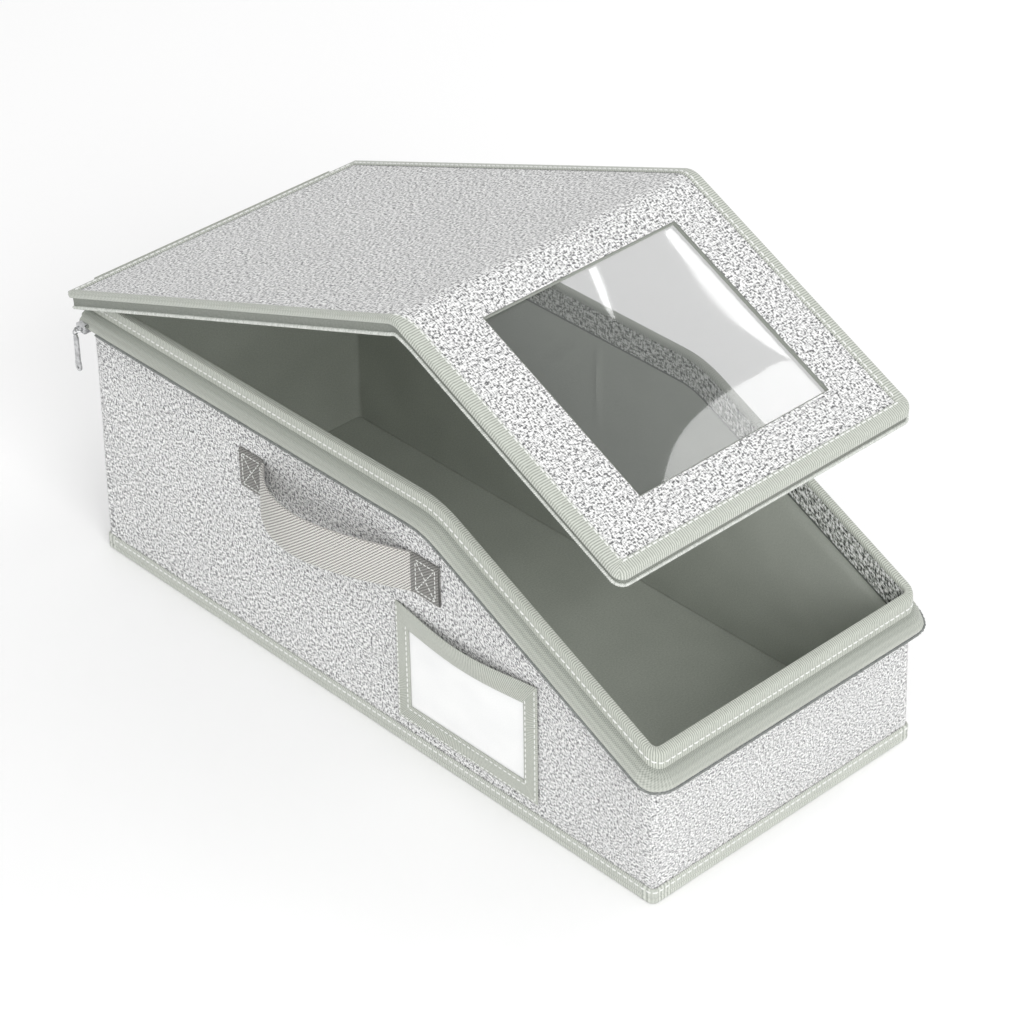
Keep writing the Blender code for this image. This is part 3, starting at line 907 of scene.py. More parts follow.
        walked = walked_lengths(line)
        start = kind.gap / 2
        while start + kind.length < walked[-1]:
            dash = []
            for share in (0.0, 0.12, 0.36, 0.64, 0.88, 1.0):
                spot, index = walk_to(line, walked, start + share * kind.length)
                dash.append(spot + lift(index) * kind.thick * (0.55 * math.sin(math.pi * share) - 0.35))
            self.tube(dash, radius)
            start += kind.length + kind.gap

    def teeth(self, line: Line, lengths: Sequence[float], pitch: float, radius: float, wire: float) -> None:
        """Adds a zip's spiral teeth, wound round a core.

        Args:
            line: Points of its middle.
            lengths: Length along the line at each point.
            pitch: Distance from turn to turn.
            radius: Radius of the core and the turns.
            wire: Radius of the spiral's wire.
        """
        self.tube(line, lambda share: radius, 8)
        total = lengths[-1]
        steps = int(total / pitch * 8)
        turns: Line = []
        for step in range(steps + 1):
            spot, index = walk_to(line, lengths, total * step / steps)
            ahead = (line[index + 1] - line[index]).normalized()
            side = ahead.cross(Vector((0.0, 0.0, 1.0))).normalized()
            angle = 2 * math.pi * step / 8
            turns.append(spot + (side * math.cos(angle) + side.cross(ahead) * math.sin(angle)) * radius)
        self.tube(turns, lambda share: wire, 5)

    def build(self, name: str, material: Material, slot: Slot) -> bpy.types.Object:
        """Turns the draft into an object.

        Args:
            name: Name of the piece.
            material: Its finish.
            slot: Slot of the record that the finish belongs to; not used.

        Returns:
            The object, linked to the scene.
        """
        mesh = bpy.data.meshes.new(name)
        mesh.from_pydata([tuple(point) for point in self.points], [], self.faces)
        layer = mesh.uv_layers.new(name=CLOTH_MAP)
        flat = [number for spots in self.places for spot in spots for number in spot]
        layer.uv.foreach_set("vector", flat)
        work = bmesh.new()
        work.from_mesh(mesh)
        bmesh.ops.remove_doubles(work, verts=work.verts, dist=SAME_POINT)
        bmesh.ops.recalc_face_normals(work, faces=work.faces)
        work.to_mesh(mesh)
        work.free()
        mesh.materials.append(material)
        mesh.polygons.foreach_set("use_smooth", [True] * len(mesh.polygons))
        mesh.set_sharp_from_angle(angle=SMOOTH_BELOW)
        obj = bpy.data.objects.new(name, mesh)
        bpy.context.scene.collection.objects.link(obj)
        log.info("%s: %d faces", name, len(mesh.polygons))
        return obj


@dataclass
class BoxShape:
    """Sizes of the case's box and the line of its rim, shared by the pieces that sit on it."""

    half_width: float = 0.110
    half_length: float = 0.250
    back_height: float = 0.193
    front_height: float = 0.108
    bend_y: float = -0.0745
    bend_radius: float = 0.070
    corner: float = 0.0075
    foot_corner: float = 0.0028
    board: float = 0.003
    lip: float = 0.0013

    @property
    def slope(self) -> float:
        """Angle of the slope in radians."""
        return math.atan2(self.back_height - self.front_height, self.bend_y + self.half_length)

    @property
    def side_length(self) -> float:
        """Straight length of a side in plan."""
        return 2 * self.half_length - 2 * self.corner

    @property
    def end_length(self) -> float:
        """Straight length of an end in plan."""
        return 2 * self.half_width - 2 * self.corner

    @property
    def arc(self) -> float:
        """Length of a corner in plan."""
        return self.corner * math.pi / 2

    @property
    def round_length(self) -> float:
        """Length once round the box."""
        return 2 * (self.side_length + self.end_length) + 4 * self.arc

    def height(self, y: float, drop: float = 0.0) -> float:
        """Height of the rim at y, or of a line that runs a drop below it.

        Args:
            y: Place along the box.
            drop: How far below the rim the line runs.

        Returns:
            Height in metres.
        """
        y = max(y, -self.half_length - self.lip)
        centre_y = self.bend_y + self.bend_radius * math.tan(self.slope / 2)
        radius = self.bend_radius - drop
        if y >= centre_y:
            return self.back_height - drop
        if y >= centre_y - radius * math.sin(self.slope):
            return self.back_height - self.bend_radius + math.sqrt(radius ** 2 - (y - centre_y) ** 2)
        return self.back_height - (self.bend_y - y) * math.tan(self.slope) - drop / math.cos(self.slope)

    def plan(self, walk: float, out: float, ring: bool = False,
             sharp: float = 0.0) -> tuple[float, float, Vector]:
        """Place in plan on the way round the box.

        Args:
            walk: Distance walked from the back of the left side, towards the front.
            out: Distance outside the wall's face.
            ring: Whether the walk goes on round the back.
            sharp: From 0 for the rim's round corners to 1 for the foot's tight ones.

        Returns:
            x, y and the direction outwards.
        """
        r = self.corner
        mid_x, mid_y = self.half_width - r, self.half_length - r
        legs = ((self.side_length, (-mid_x, mid_y), 180), (self.end_length, (-mid_x, -mid_y), 270),
                (self.side_length, (mid_x, -mid_y), 0), (self.end_length, (mid_x, mid_y), 90))
        left = walk
        for index, (length, (cx, cy), facing) in enumerate(legs):
            outward = Vector((math.cos(math.radians(facing)), math.sin(math.radians(facing)), 0.0))
            ahead = Vector((-outward.y, outward.x, 0.0))
            if left <= length or (index == 2 and not ring):
                spot = Vector((cx, cy, 0.0)) + outward * (r + out) + ahead * left
                return spot.x, spot.y, outward
            left -= length
            if left < self.arc:
                turn = math.radians(facing) + left / self.arc * math.pi / 2
                tight = sharp * (r - self.foot_corner)
                centre = Vector((cx, cy, 0.0)) + ahead * (length + tight) + outward * tight
                outward = Vector((math.cos(turn), math.sin(turn), 0.0))
                spot = centre + outward * max(r - tight + out, 0.0001)
                return spot.x, spot.y, outward
            left -= self.arc
        return self.plan(walk - self.round_length, out, ring, sharp)

    def at(self, walk: float, out: float, z: float, sharp: float = 0.0) -> Vector:
        """Point at a height on the way once round the box, outside the wall's face."""
        x, y, _ = self.plan(walk, out, ring=True, sharp=sharp)
        return Vector((x, y, z))

    def rim(self, walk: float, out: float, drop: float, ring: bool = False) -> Vector:
        """Point outside and below the rim, a distance walked round it."""
        x, y, _ = self.plan(walk, out, ring)
        return Vector((x, y, self.height(y, drop)))

    def stations(self, step: float, ring: bool = False, start: float = 0.0) -> list[float]:
        """Distances to stop at on the way round, closer at the corners and the bend.

        Args:
            step: Distance between stops on the straights.
            ring: Whether the walk goes all the way round.
            start: Where it starts.

        Returns:
            The distances.
        """
        marks = [0.0]
        legs = (self.side_length, self.end_length, self.side_length, self.end_length)
        for length in legs[:4 if ring else 3]:
            marks += [marks[-1] + length, marks[-1] + length + self.arc]
        marks = marks if ring else marks[:-1]
        stops: list[float] = []
        for index, (low, high) in enumerate(zip(marks, marks[1:])):
            stops += spread(low, high, self.arc / 5 if index % 2 else step)[:-1]
        if ring:
            return stops
        end = marks[-1] + self.corner
        stops = [stop for stop in stops if stop > start + 1e-4] + [marks[-1], end]
        return [start if start else -self.corner] + [stop for stop in stops if stop > 0 or start]

    def lengths(self, stops: Sequence[float], ring: bool = False) -> list[float]:
        """True length along the rim at each stop, so that ribs stay even on the slope.

        Args:
            stops: Distances walked in plan.
            ring: Whether the walk goes all the way round; the last length is then the whole.

        Returns:
            Lengths in metres.
        """
        points = [self.rim(stop, 0.0, 0.0, ring) for stop in stops]
        return walked_lengths(points + points[:1] if ring else points)


@dataclass
class CaseBox:
    """The box itself: linen walls on boards, lining, facing, rim binding and foot binding."""

    shape: BoxShape
    finishes: Finishes
    foot_gap: float = 0.0003
    wall_drop: float = 0.0013
    air: float = 0.0003
    lining: float = 0.001
    facing_top: float = 0.0034
    facing_depth: float = 0.0186
    hem: float = 0.0012
    binding_leg: float = 0.010
    foot_top: float = 0.0108
    stitch_drop: float = 0.0058
    inner_leg: float = 0.0032
    creases: tuple[tuple[float, float, float, float], ...] = (
        (0.012, 0.145, 0.0, 0.0022), (0.038, 0.150, -0.75, 0.0024),
        (-0.060, 0.075, -0.35, 0.003), (0.150, 0.105, 0.25, 0.003))
    crease_reach: float = 0.035
    crease_depth: float = 0.0017
    slack: float = 0.0008
    pucker: float = 0.0012
    wall_swell: float = 0.0007

    def build(self) -> None:
        """Builds every piece of the box."""
        self.build_walls()
        self.build_base()
        self.build_lining()
        self.build_floor()
        self.build_facing()
        self.build_rim_binding()
        self.build_foot_binding()

    def swell(self, walk: float, z: float, y: float) -> float:
        """How far the wall's cloth stands off its board, with nothing at the edges and under what is sewn on.

        Args:
            walk: Distance round the box.
            z: Height.
            y: Place along the box.

        Returns:
            Metres outwards.
        """
        fade = ease(z, 0.014, 0.035) * ease(self.shape.height(y, self.binding_leg) - z, 0.006, 0.03)
        corner = min(abs(y - self.shape.half_length), abs(y + self.shape.half_length))
        fade *= ease(corner, 0.004, 0.03) if abs(y) < self.shape.half_length - self.shape.corner else 1.0
        return self.wall_swell * fade * drift(walk, z, 3.0, 0.085)

    def sleeve(self, pair: Callable[[float, float], tuple[Vector, Vector]], step: float, levels: int,
               edge: float) -> Draft:
        """Drafts a wall with two faces that goes once round the box.

        Args:
            pair: Gives both faces' points from the share of the height and the distance round the box.
            step: Distance between points round the box.
            levels: Rows of faces from the foot to the top.
            edge: Width of the cloth's edge at the top and the foot.

        Returns:
            The draft.
        """
        stops, shares = self.shape.stations(step, ring=True), spread(0.0, 1.0, 1 / levels)
        pairs = [[pair(share, stop) for stop in stops] for share in shares]
        rows = [[near for near, _ in row] for row in pairs] + [[far for _, far in row] for row in pairs[::-1]]
        tall = self.shape.back_height
        across = [share * tall for share in shares] + [tall + edge + share * tall for share in shares]
        draft = Draft()
        draft.sweep(rows, stops + [self.shape.round_length], across + [across[-1] + edge], closed_path=True)
        return draft

    def build_walls(self) -> None:
        """One sleeve of linen over the four boards, with soft corners."""

        def pair(share: float, stop: float) -> tuple[Vector, Vector]:
            """Outer and inner point of the wall at a share of its height.

            Args:
                share: Share of the way up.
                stop: Distance round the box.

            Returns:
                The two points.
            """
            _, wall_y, outward = self.shape.plan(stop, 0.0, ring=True)
            top = self.shape.height(max(wall_y, -self.shape.half_length), self.wall_drop)
            z = self.foot_gap + (top - self.foot_gap) * share
            side = self.swell(stop, z, wall_y) if abs(outward.x) > 0.9 else 0.0
            sharp = 1 - ease(share, 0.0, 0.85)
            return self.shape.at(stop, side, z, sharp), self.shape.at(stop, -self.shape.board, z, sharp)

        draft = self.sleeve(pair, 0.007, 26, self.shape.board)
        walls = draft.build("wall_cloth", self.finishes.linen, Slot.LINEN)
        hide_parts("left_wall", "right_wall", "front_wall", "back_wall")
        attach(walls, Body.CASE.value)

    def build_base(self) -> None:
        """Cloth-covered bottom board."""
        low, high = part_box("base_panel")
        xs, ys = spread(low[0], high[0], 0.02), spread(low[1], high[1], 0.02)
        draft = Draft()
        draft.slab(lambda c, r, face: Vector((xs[c], ys[r], low[2] if face else high[2])), xs, ys)
        base = draft.build("base_board", self.finishes.linen, Slot.LINEN)
        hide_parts("base_panel")
        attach(base, Body.CASE.value)

    def crease(self, y: float, z: float) -> float:
        """Depth of the lining's soft folds, each with its place along, height, tilt and width.

        Args:
            y: Place along.
            z: Height.

        Returns:
            Metres towards the inside.
        """
        folds = 0.0
        for at_y, at_z, tilt, wide in self.creases:
            off = (y - at_y) * math.cos(tilt) - (z - at_z) * math.sin(tilt)
            run = (y - at_y) * math.sin(tilt) + (z - at_z) * math.cos(tilt)
            folds += math.exp(-abs(off / wide) ** 1.4) * math.exp(-(run / self.crease_reach) ** 4)
        return self.crease_depth * folds + self.slack * (1 + drift(y, z, 9.0, 0.05))

    def build_lining(self) -> None:
        """Lining round the inside, with soft creases."""
        outer = -self.shape.board - self.air
        foot = self.shape.board + 3 * self.air + self.lining
        drop = self.facing_top + self.facing_depth + self.air

        def pair(share: float, stop: float) -> tuple[Vector, Vector]:
            """Point inside and behind the lining at a share of its height.

            Args:
                share: Share of the way up.
                stop: Distance round the box.

            Returns:
                The two points.
            """
            _, wall_y, _ = self.shape.plan(stop, 0.0, ring=True)
            top = self.shape.height(max(wall_y, -self.shape.half_length + 0.004), drop)
            z = foot + (top - foot) * share
            depth = self.crease(wall_y, z) * ease(share, 0.0, 0.12) * ease(1 - share, 0.0, 0.1)
            return self.shape.at(stop, outer - self.lining - depth, z), self.shape.at(stop, outer, z)

        draft = self.sleeve(pair, 0.0026, 44, 0.0)
        lining = draft.build("wall_lining", self.finishes.lining, Slot.LINING)
        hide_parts("left_lining", "right_lining", "front_lining", "back_lining")
        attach(lining, Body.CASE.value)

    def build_floor(self) -> None:
        """Lining over the bottom board, with a few shallow puckers."""
        low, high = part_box("floor_lining")
        xs, ys = spread(low[0], high[0], 0.008), spread(low[1], high[1], 0.008)

        def place(column: int, row: int, face: int) -> Vector:
            """Point of the floor cloth.

            Args:
                column: Number of the column.
                row: Number of the row.
                face: 0 on top and 1 underneath.

            Returns:
                The point.
            """
            x, y = xs[column], ys[row]
            edge = min(x - low[0], high[0] - x, y - low[1], high[1] - y)
            rise = 0.0 if face else self.pucker * ease(edge, 0.006, 0.03) * (1 + drift(x, y, 1.0, 0.06))
            return Vector((x, y, low[2] if face else high[2] + rise))

        draft = Draft()
        draft.slab(place, xs, ys)
        floor = draft.build("floor_cloth", self.finishes.lining, Slot.LINING)
        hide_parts("floor_lining")
        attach(floor, Body.CASE.value)

    def build_ring(self, section: Sequence[Place], step: float = 0.007) -> Draft:
        """Sweeps a closed section of (out, drop) corners once round the rim.

        Args:
            section: Corners of the section.
            step: Distance between stops.

        Returns:
            The draft.
        """
        stops = self.shape.stations(step, ring=True)
        rows = [[self.shape.rim(stop, out, drop, ring=True) for stop in stops] for out, drop in section]
        draft = Draft()
        draft.sweep(rows, self.shape.lengths(stops, ring=True), section_lengths(section), closed_path=True)
        return draft

    def build_facing(self) -> None:
        """Linen facing inside the rim in the shaded linen, with a turned edge along its foot darkened with
        painted shade.
        """
        back = -self.shape.board - self.air
        front = back - self.lining
        top, foot = self.facing_top, self.facing_top + self.facing_depth
        seam = foot - self.hem
        section = ((back, top), (front, top), (front - 0.0002, (top + foot) / 2), (front, seam), (back, seam))
        facing = self.build_ring(section).build("rim_facing_cloth", self.finishes.shaded_linen, Slot.LINEN)
        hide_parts("rim_facing")
        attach(facing, Body.CASE.value)
        edge = ((back, seam), (front - 0.0001, seam), (front - 0.0006, foot - self.hem / 2),
                (front - 0.0002, foot), (back, foot))
        # The turned edge takes the darker lining copy: painted shade.
        hem = self.build_ring(edge).build("rim_facing_hem", self.finishes.shaded_hem, Slot.LINING)
        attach(hem, Body.CASE.value)

    def build_rim_binding(self) -> None:
        """Ribbed binding folded over the rim, with a sewn row and a raised ridge."""
        air, leg = self.air, self.binding_leg
        inner = -self.shape.board - air
        section = ((air, leg), (0.0011, leg - 0.0002), (0.00135, leg - 0.0012), (0.00115, 0.0076),
                   (0.00115, 0.0052), (0.00135, 0.0036), (0.00125, 0.0013), (0.0009, 0.0004), (0.0, 0.0),
                   (-0.0030, 0.0), (-0.0038, 0.0004), (inner - 0.001, 0.0012),
                   (inner - 0.0011, self.inner_leg - 0.0005), (inner - 0.0006, self.inner_leg),
                   (inner, self.inner_leg), (inner, 0.0012), (air, 0.0012))
        binding = self.build_ring(section, 0.005).build("rim_ribbon", self.finishes.binding, Slot.BINDING)
        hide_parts("rim_binding")
        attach(binding, Body.CASE.value)
        stops = self.shape.stations(0.002)
        draft = Draft()
        row = [self.shape.rim(stop, 0.00122, self.stitch_drop) for stop in stops]
        outward = [self.shape.plan(stop, 0.0)[2] for stop in stops]
        draft.stitches(row, lambda index: outward[index])
        thread = draft.build("rim_stitches", self.finishes.thread, Slot.BINDING)
        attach(thread, Body.CASE.value)

    def build_foot_binding(self) -> None:
        """Ribbed strip round the foot with a sewn row and a groove."""
        stops = self.shape.stations(0.006, ring=True)
        top = self.foot_top
        section = ((self.air, 0.0004), (0.0013, 0.0005), (0.0016, 0.0018), (0.0015, 0.0034), (0.0010, 0.0040),
                   (0.0015, 0.0046), (0.0015, top - 0.0012), (0.0010, top - 0.0002), (self.air, top))
        rows = [[self.shape.at(stop, out, z, 1.0) for stop in stops] for out, z in section]
        draft = Draft()
        draft.sweep(rows, stops + [self.shape.round_length], section_lengths(section), closed_path=True)
        strip = draft.build("foot_ribbon", self.finishes.foot_binding, Slot.BINDING)
        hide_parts("base_binding")
        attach(strip, Body.CASE.value)
        fine = self.shape.stations(0.002, ring=True)
        row = [self.shape.at(stop, 0.00145, top - 0.0022, 1.0) for stop in fine]
        outward = [self.shape.plan(stop, 0.0, ring=True)[2] for stop in fine]
        draft = Draft()
        draft.stitches(row, lambda index: outward[index])
        thread = draft.build("foot_stitches", self.finishes.thread, Slot.BINDING)
        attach(thread, Body.CASE.value)


@dataclass
class BodyZip:
    """Zip tape folded out and down under the rim binding, with its coil; the slider keeps its CAD shape."""

    shape: BoxShape
    finishes: Finishes
    root_out: float = 0.0004
    root_drop: float = 0.0099
    width: float = 0.0118
    tilt: float = math.radians(45)
    thickness: float = 0.0008
    coil_radius: float = 0.0007
    wire: float = 0.0003
    pitch: float = 0.0013
    coil_start: float = 0.0105
    belly: float = 0.0013
    edge_wave: float = 0.0008
    ridge: float = 0.00042

    def place(self, reach: float, lift: float) -> Place:
        """Place in the tape's section as (out, drop), from reach along it and lift off its face."""
        across, down = math.cos(self.tilt), math.sin(self.tilt)
        return self.root_out + reach * across + lift * down, self.root_drop + reach * down - lift * across

    def curl(self, reach: float, length: float) -> float:
        """How far the tape's face lies off a flat one: a soft belly, and slow waves at its free edge.

        Args:
            reach: Distance across the tape from its root.
            length: Distance along the tape.

        Returns:
            Metres off the flat face.
        """
        share = reach / self.width
        wave = self.edge_wave * share * drift(length, 4.0, 0.0, 0.035)
        ridges = self.ridge * math.sin(2 * math.pi * 3 * share + 0.8 * drift(length, 9.0, 0.0, 0.06))
        belly = self.belly * math.sin(math.pi * share ** 0.7)
        return belly + wave + ridges * math.sin(math.pi * share)

    def build(self) -> None:
        """Builds the tape, its coil and the slider's finish."""
        self.build_tape()
        self.build_coil()
        for name in ("zip_slider", "zip_pull"):
            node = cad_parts[name]
            node.data.materials.clear()
            node.data.materials.append(self.finishes.chrome)
            log.info("%s: plated", name)

    def build_tape(self) -> None:
        """Folded tape with soft waves."""
        stops = self.shape.stations(0.005)
        lengths = self.shape.lengths(stops)
        reaches = spread(0.0, self.width, self.width / 16)
        face, back = [], []
        for reach in reaches:
            top = [self.place(reach, self.curl(reach, length)) for length in lengths]
            low = [self.place(reach, self.curl(reach, length) - self.thickness) for length in lengths]
            face.append([self.shape.rim(stop, out, drop) for stop, (out, drop) in zip(stops, top)])
            back.append([self.shape.rim(stop, max(out, self.root_out), drop)
                         for stop, (out, drop) in zip(stops, low)])
        across = list(reaches) + [reach + self.thickness for reach in reaches[::-1]] + [0.0]
        draft = Draft()
        draft.sweep(face + back[::-1], lengths, across)
        tape = draft.build("zip_tape_round_rim", self.finishes.tape, Slot.TAPE)
        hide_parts("body_zip_tape")
        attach(tape, Body.CASE.value)

    def build_coil(self) -> None:
        """Spiral teeth along the tape's free edge."""
        out, drop = self.place(self.width + 0.0008, -self.thickness / 2)
        stops = self.shape.stations(0.004, start=self.coil_start)
        lengths = self.shape.lengths(stops)
        middle = [self.shape.rim(stop, out, drop) for stop in stops]
        draft = Draft()
        draft.teeth(middle, lengths, self.pitch, self.coil_radius, self.wire)
        # The body's coil takes the darker coil colours: painted shade under the binding.
        coil = draft.build("zip_teeth_round_rim", self.finishes.coil, Slot.COIL)
        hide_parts("body_zip_coil")
        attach(coil, Body.CASE.value)


@dataclass
class Handle:
    """Webbing strap sewn down at both ends and bowed out between them."""

    shape: BoxShape
    finishes: Finishes
    back_end: float = 0.103
    length: float = 0.179
    tab: float = 0.023
    bow: float = 0.024
    top_share: float = 0.39
    sag: float = 0.0015
    twist: float = -0.0012
    middle_z: float = 0.134
    web: float = 0.028
    thickness: float = 0.002
    air: float = 0.0003

    def stand_off(self, y: float) -> float:
        """How far the strap stands off the wall at y.

        Args:
            y: Place along the wall.

        Returns:
            Metres off the wall.
        """
        start = self.back_end - self.tab
        share = min(max((start - y) / (self.length - 2 * self.tab), 0.0), 1.0)
        return self.bow * math.sin(math.pi * share ** (math.log(0.5) / math.log(self.top_share)))

    def build(self) -> None:
        """Builds the strap and the crossed boxes of stitches that hold it."""
        self.build_strap()
        self.build_seams()

    def build_strap(self) -> None:
        """Bowed strap, with a tab at each end that lies flat on the wall."""
        ys = spread(self.back_end, self.back_end - self.length, 0.0035)
        inner = [Vector((-self.shape.half_width - self.air - self.stand_off(y), y, 0.0)) for y in ys]
        normals = []
        for index in range(len(inner)):
            before, after = inner[max(index - 1, 0)], inner[min(index + 1, len(inner) - 1)]
            ahead = (after - before).normalized()
            normals.append(Vector((ahead.y, -ahead.x, 0.0)))
        walked = walked_lengths(inner)
        half = self.web / 2
        flank = half - 0.0008
        section = [(0.0004, -half), (0.0, -flank), (0.0, flank), (0.0004, half), (0.0015, half),
                   (0.0020, flank), (0.0022, half * 0.5), (0.00225, 0.0), (0.0022, -half * 0.5),
                   (0.0020, -flank), (0.0015, -half)]
        rows = []
        for lift, rise in section:
            row = []
            for point, normal in zip(inner, normals):
                free = self.stand_off(point.y) / self.bow
                tilt = free * (rise / half) * self.twist
                z = self.middle_z + rise - self.sag * free
                row.append(point + normal * (lift + tilt) + Vector((0.0, 0.0, z)))
            rows.append(row)
        start = min(range(len(ys)), key=lambda index: abs(ys[index] - (self.back_end - self.tab)))
        end = min(range(len(ys)), key=lambda index: abs(ys[index] - (self.back_end - self.length + self.tab)))
        across = section_lengths(section)
        draft = Draft()
        draft.sweep([row[start:end + 1] for row in rows], walked[start:end + 1], across)
        strap = draft.build("carry_strap", self.finishes.webbing, Slot.WEBBING)
        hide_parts("handle_strap")
        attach(strap, Body.CASE.value)
        draft = Draft()
        draft.sweep([row[:start + 1] for row in rows], walked[:start + 1], across)
        draft.sweep([row[end:] for row in rows], walked[end:], across)
        # The tabs take the darker webbing copy: painted shade.
        tabs = draft.build("strap_tabs", self.finishes.shaded_tab_webbing, Slot.WEBBING)
        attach(tabs, Body.CASE.value)

    def build_seams(self) -> None:
        """Crossed box of stitches on each tab."""
        draft = Draft()
        face = -self.shape.half_width - self.air - self.thickness - 0.0002
        reach = self.web / 2 - 0.003
        for end, toward in ((self.back_end, -1), (self.back_end - self.length, 1)):
            near, far = end + toward * 0.0028, end + toward * (self.tab - 0.0035)
            low, high = self.middle_z - reach, self.middle_z + reach
            ring = corners((near, low), (far, high))
            paths = [(ring[k], ring[(k + 1) % 4]) for k in range(4)]
            paths += [(ring[0], ring[2]), (ring[1], ring[3])]
            for (y0, z0), (y1, z1) in paths:
                line = [Vector((face, y0 + (y1 - y0) * k / 12, z0 + (z1 - z0) * k / 12)) for k in range(13)]
                draft.stitches(line, lambda index: OFF_LEFT_WALL, STRAP_STITCH)
        thread = draft.build("strap_stitches", self.finishes.thread, Slot.WEBBING)
        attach(thread, Body.CASE.value)


@dataclass
class LabelPocket:
    """Ribbon frame on the left wall with a bare card behind it; its top ribbon gapes."""

    shape: BoxShape
    finishes: Finishes
    front: float = -0.157
    back: float = -0.036
    foot: float = 0.019
    top: float = 0.105
    side_ribbon: float = 0.0115
    foot_ribbon: float = 0.0125
    top_ribbon: float = 0.0155
    face_x: float = -0.1111
    thickness: float = 0.0008
    gape: float = 0.0042
    dip: float = 0.0035
    card_lean: float = 0.0016
    card_dip: float = 0.002

    def build(self) -> None:
        """Builds the four ribbons, their stitches and the card."""
        outer = corners((self.back, self.top), (self.front, self.foot))
        inner = corners((self.back - self.side_ribbon, self.top - self.top_ribbon),
                        (self.front + self.side_ribbon, self.foot + self.foot_ribbon))
        widths = (self.top_ribbon, self.side_ribbon, self.foot_ribbon, self.side_ribbon)
        seam_shares = ((), (0.14, 0.82), (0.16, 0.84), (0.14, 0.82))
        draft, seams = Draft(), Draft()
        for index, ends in enumerate(strips(outer, inner)):
            self.add_ribbon(draft, ends, widths[index], index == 0)
            for share in seam_shares[index]:
                self.add_seam(seams, ends, share)
        frame_piece = draft.build("label_ribbons", self.finishes.binding, Slot.BINDING)
        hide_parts("label_frame")
        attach(frame_piece, Body.CASE.value)
        thread = seams.build("label_stitches", self.finishes.thread, Slot.BINDING)
        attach(thread, Body.CASE.value)
        self.build_card()

    def bowed(self, y: float, z: float, is_top: bool, share: float) -> Vector:
        """Point on the frame's inner face, with the top ribbon bowed out and down.

        Args:
            y: Place along the wall.
            z: Height.
            is_top: Whether the point is on the top ribbon.
            share: Share of the way across the ribbon, from its outer edge.

        Returns:
            The point.
        """
        if not is_top:
            return Vector((self.face_x, y, z))
        way = (self.back - y) / (self.back - self.front)
        hump = math.sin(math.pi * min(max(way, 0.0), 1.0)) ** 1.3
        reach = self.gape * hump * (1.0 - 0.45 * share)
        return Vector((self.face_x - reach, y, z - self.dip * hump))

    def add_ribbon(self, draft: Draft, ends: Sequence[Place], width: float, is_top: bool) -> None:
        """Adds one mitred ribbon.

        Args:
            draft: Draft to add to.
            ends: Outer start, outer end, inner start and inner end.
            width: Its width.
            is_top: Whether it is the gaping top ribbon.
        """
        length = math.hypot(ends[1][0] - ends[0][0], ends[1][1] - ends[0][1])
        columns = spread(0.0, 1.0, 0.004 / length)
        rows = [0.0, 0.06, 0.2, 0.4, 0.6, 0.8, 0.94, 1.0]

        def place(column: int, row: int, face: int) -> Vector:
            """Point of the ribbon.

            Args:
                column: Number of the column.
                row: Number of the row.
                face: 0 on top and 1 underneath.

            Returns:
                The point.
            """
            f = rows[row]
            y, z = on_strip(ends, columns[column], f)
            thick = 0.0 if face else self.thickness * (0.45 if row in (0, len(rows) - 1) else 1.0)
            lift = 0.0 if face else 0.00025 * math.sin(math.pi * f)
            return self.bowed(y, z, is_top, f) - Vector((thick + lift, 0.0, 0.0))

        draft.slab(place, [t * length for t in columns], [f * width for f in rows])

    def add_seam(self, seams: Draft, ends: Sequence[Place], share: float) -> None:
        """Adds a sewn row along a flat ribbon.

        Args:
            seams: Draft to add to.
            ends: Outer start, outer end, inner start and inner end of the ribbon.
            share: Where across the ribbon it runs.
        """
        face = self.face_x - (self.thickness + 0.0002)
        line = [Vector((face, *on_strip(ends, step / 40, share))) for step in range(41)]
        seams.stitches(line, lambda index: OFF_LEFT_WALL, LABEL_STITCH)

    def build_card(self) -> None:
        """Bare card with a slightly bent top edge."""
        low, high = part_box("label_card")
        ys, zs = spread(low[1], high[1], 0.005), spread(low[2], high[2], 0.005)

        def place(column: int, row: int, face: int) -> Vector:
            """Point of the card.

            Args:
                column: Number of the column.
                row: Number of the row.
                face: 0 on top and 1 underneath.

            Returns:
                The point.
            """
            way = (ys[column] - low[1]) / (high[1] - low[1])
            rise = (zs[row] - low[2]) / (high[2] - low[2])
            lean = math.sin(math.pi * way) * rise ** 3
            x = (high[0] if face else low[0]) - self.card_lean * lean
            return Vector((x, ys[column], zs[row] - self.card_dip * lean * rise))

        draft = Draft()
        draft.slab(place, ys, zs)
        card = draft.build("bare_card", self.finishes.card, Slot.CARD)
        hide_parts("label_card")
        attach(card, Body.CASE.value)


@dataclass(frozen=True)
class EdgePoint:
    """Corner of a section that runs along the lid's edge."""

    inset: float
    height: float
    leg: float = 0.0
    rear_drop: float = 0.0
    end_inset: float | None = None


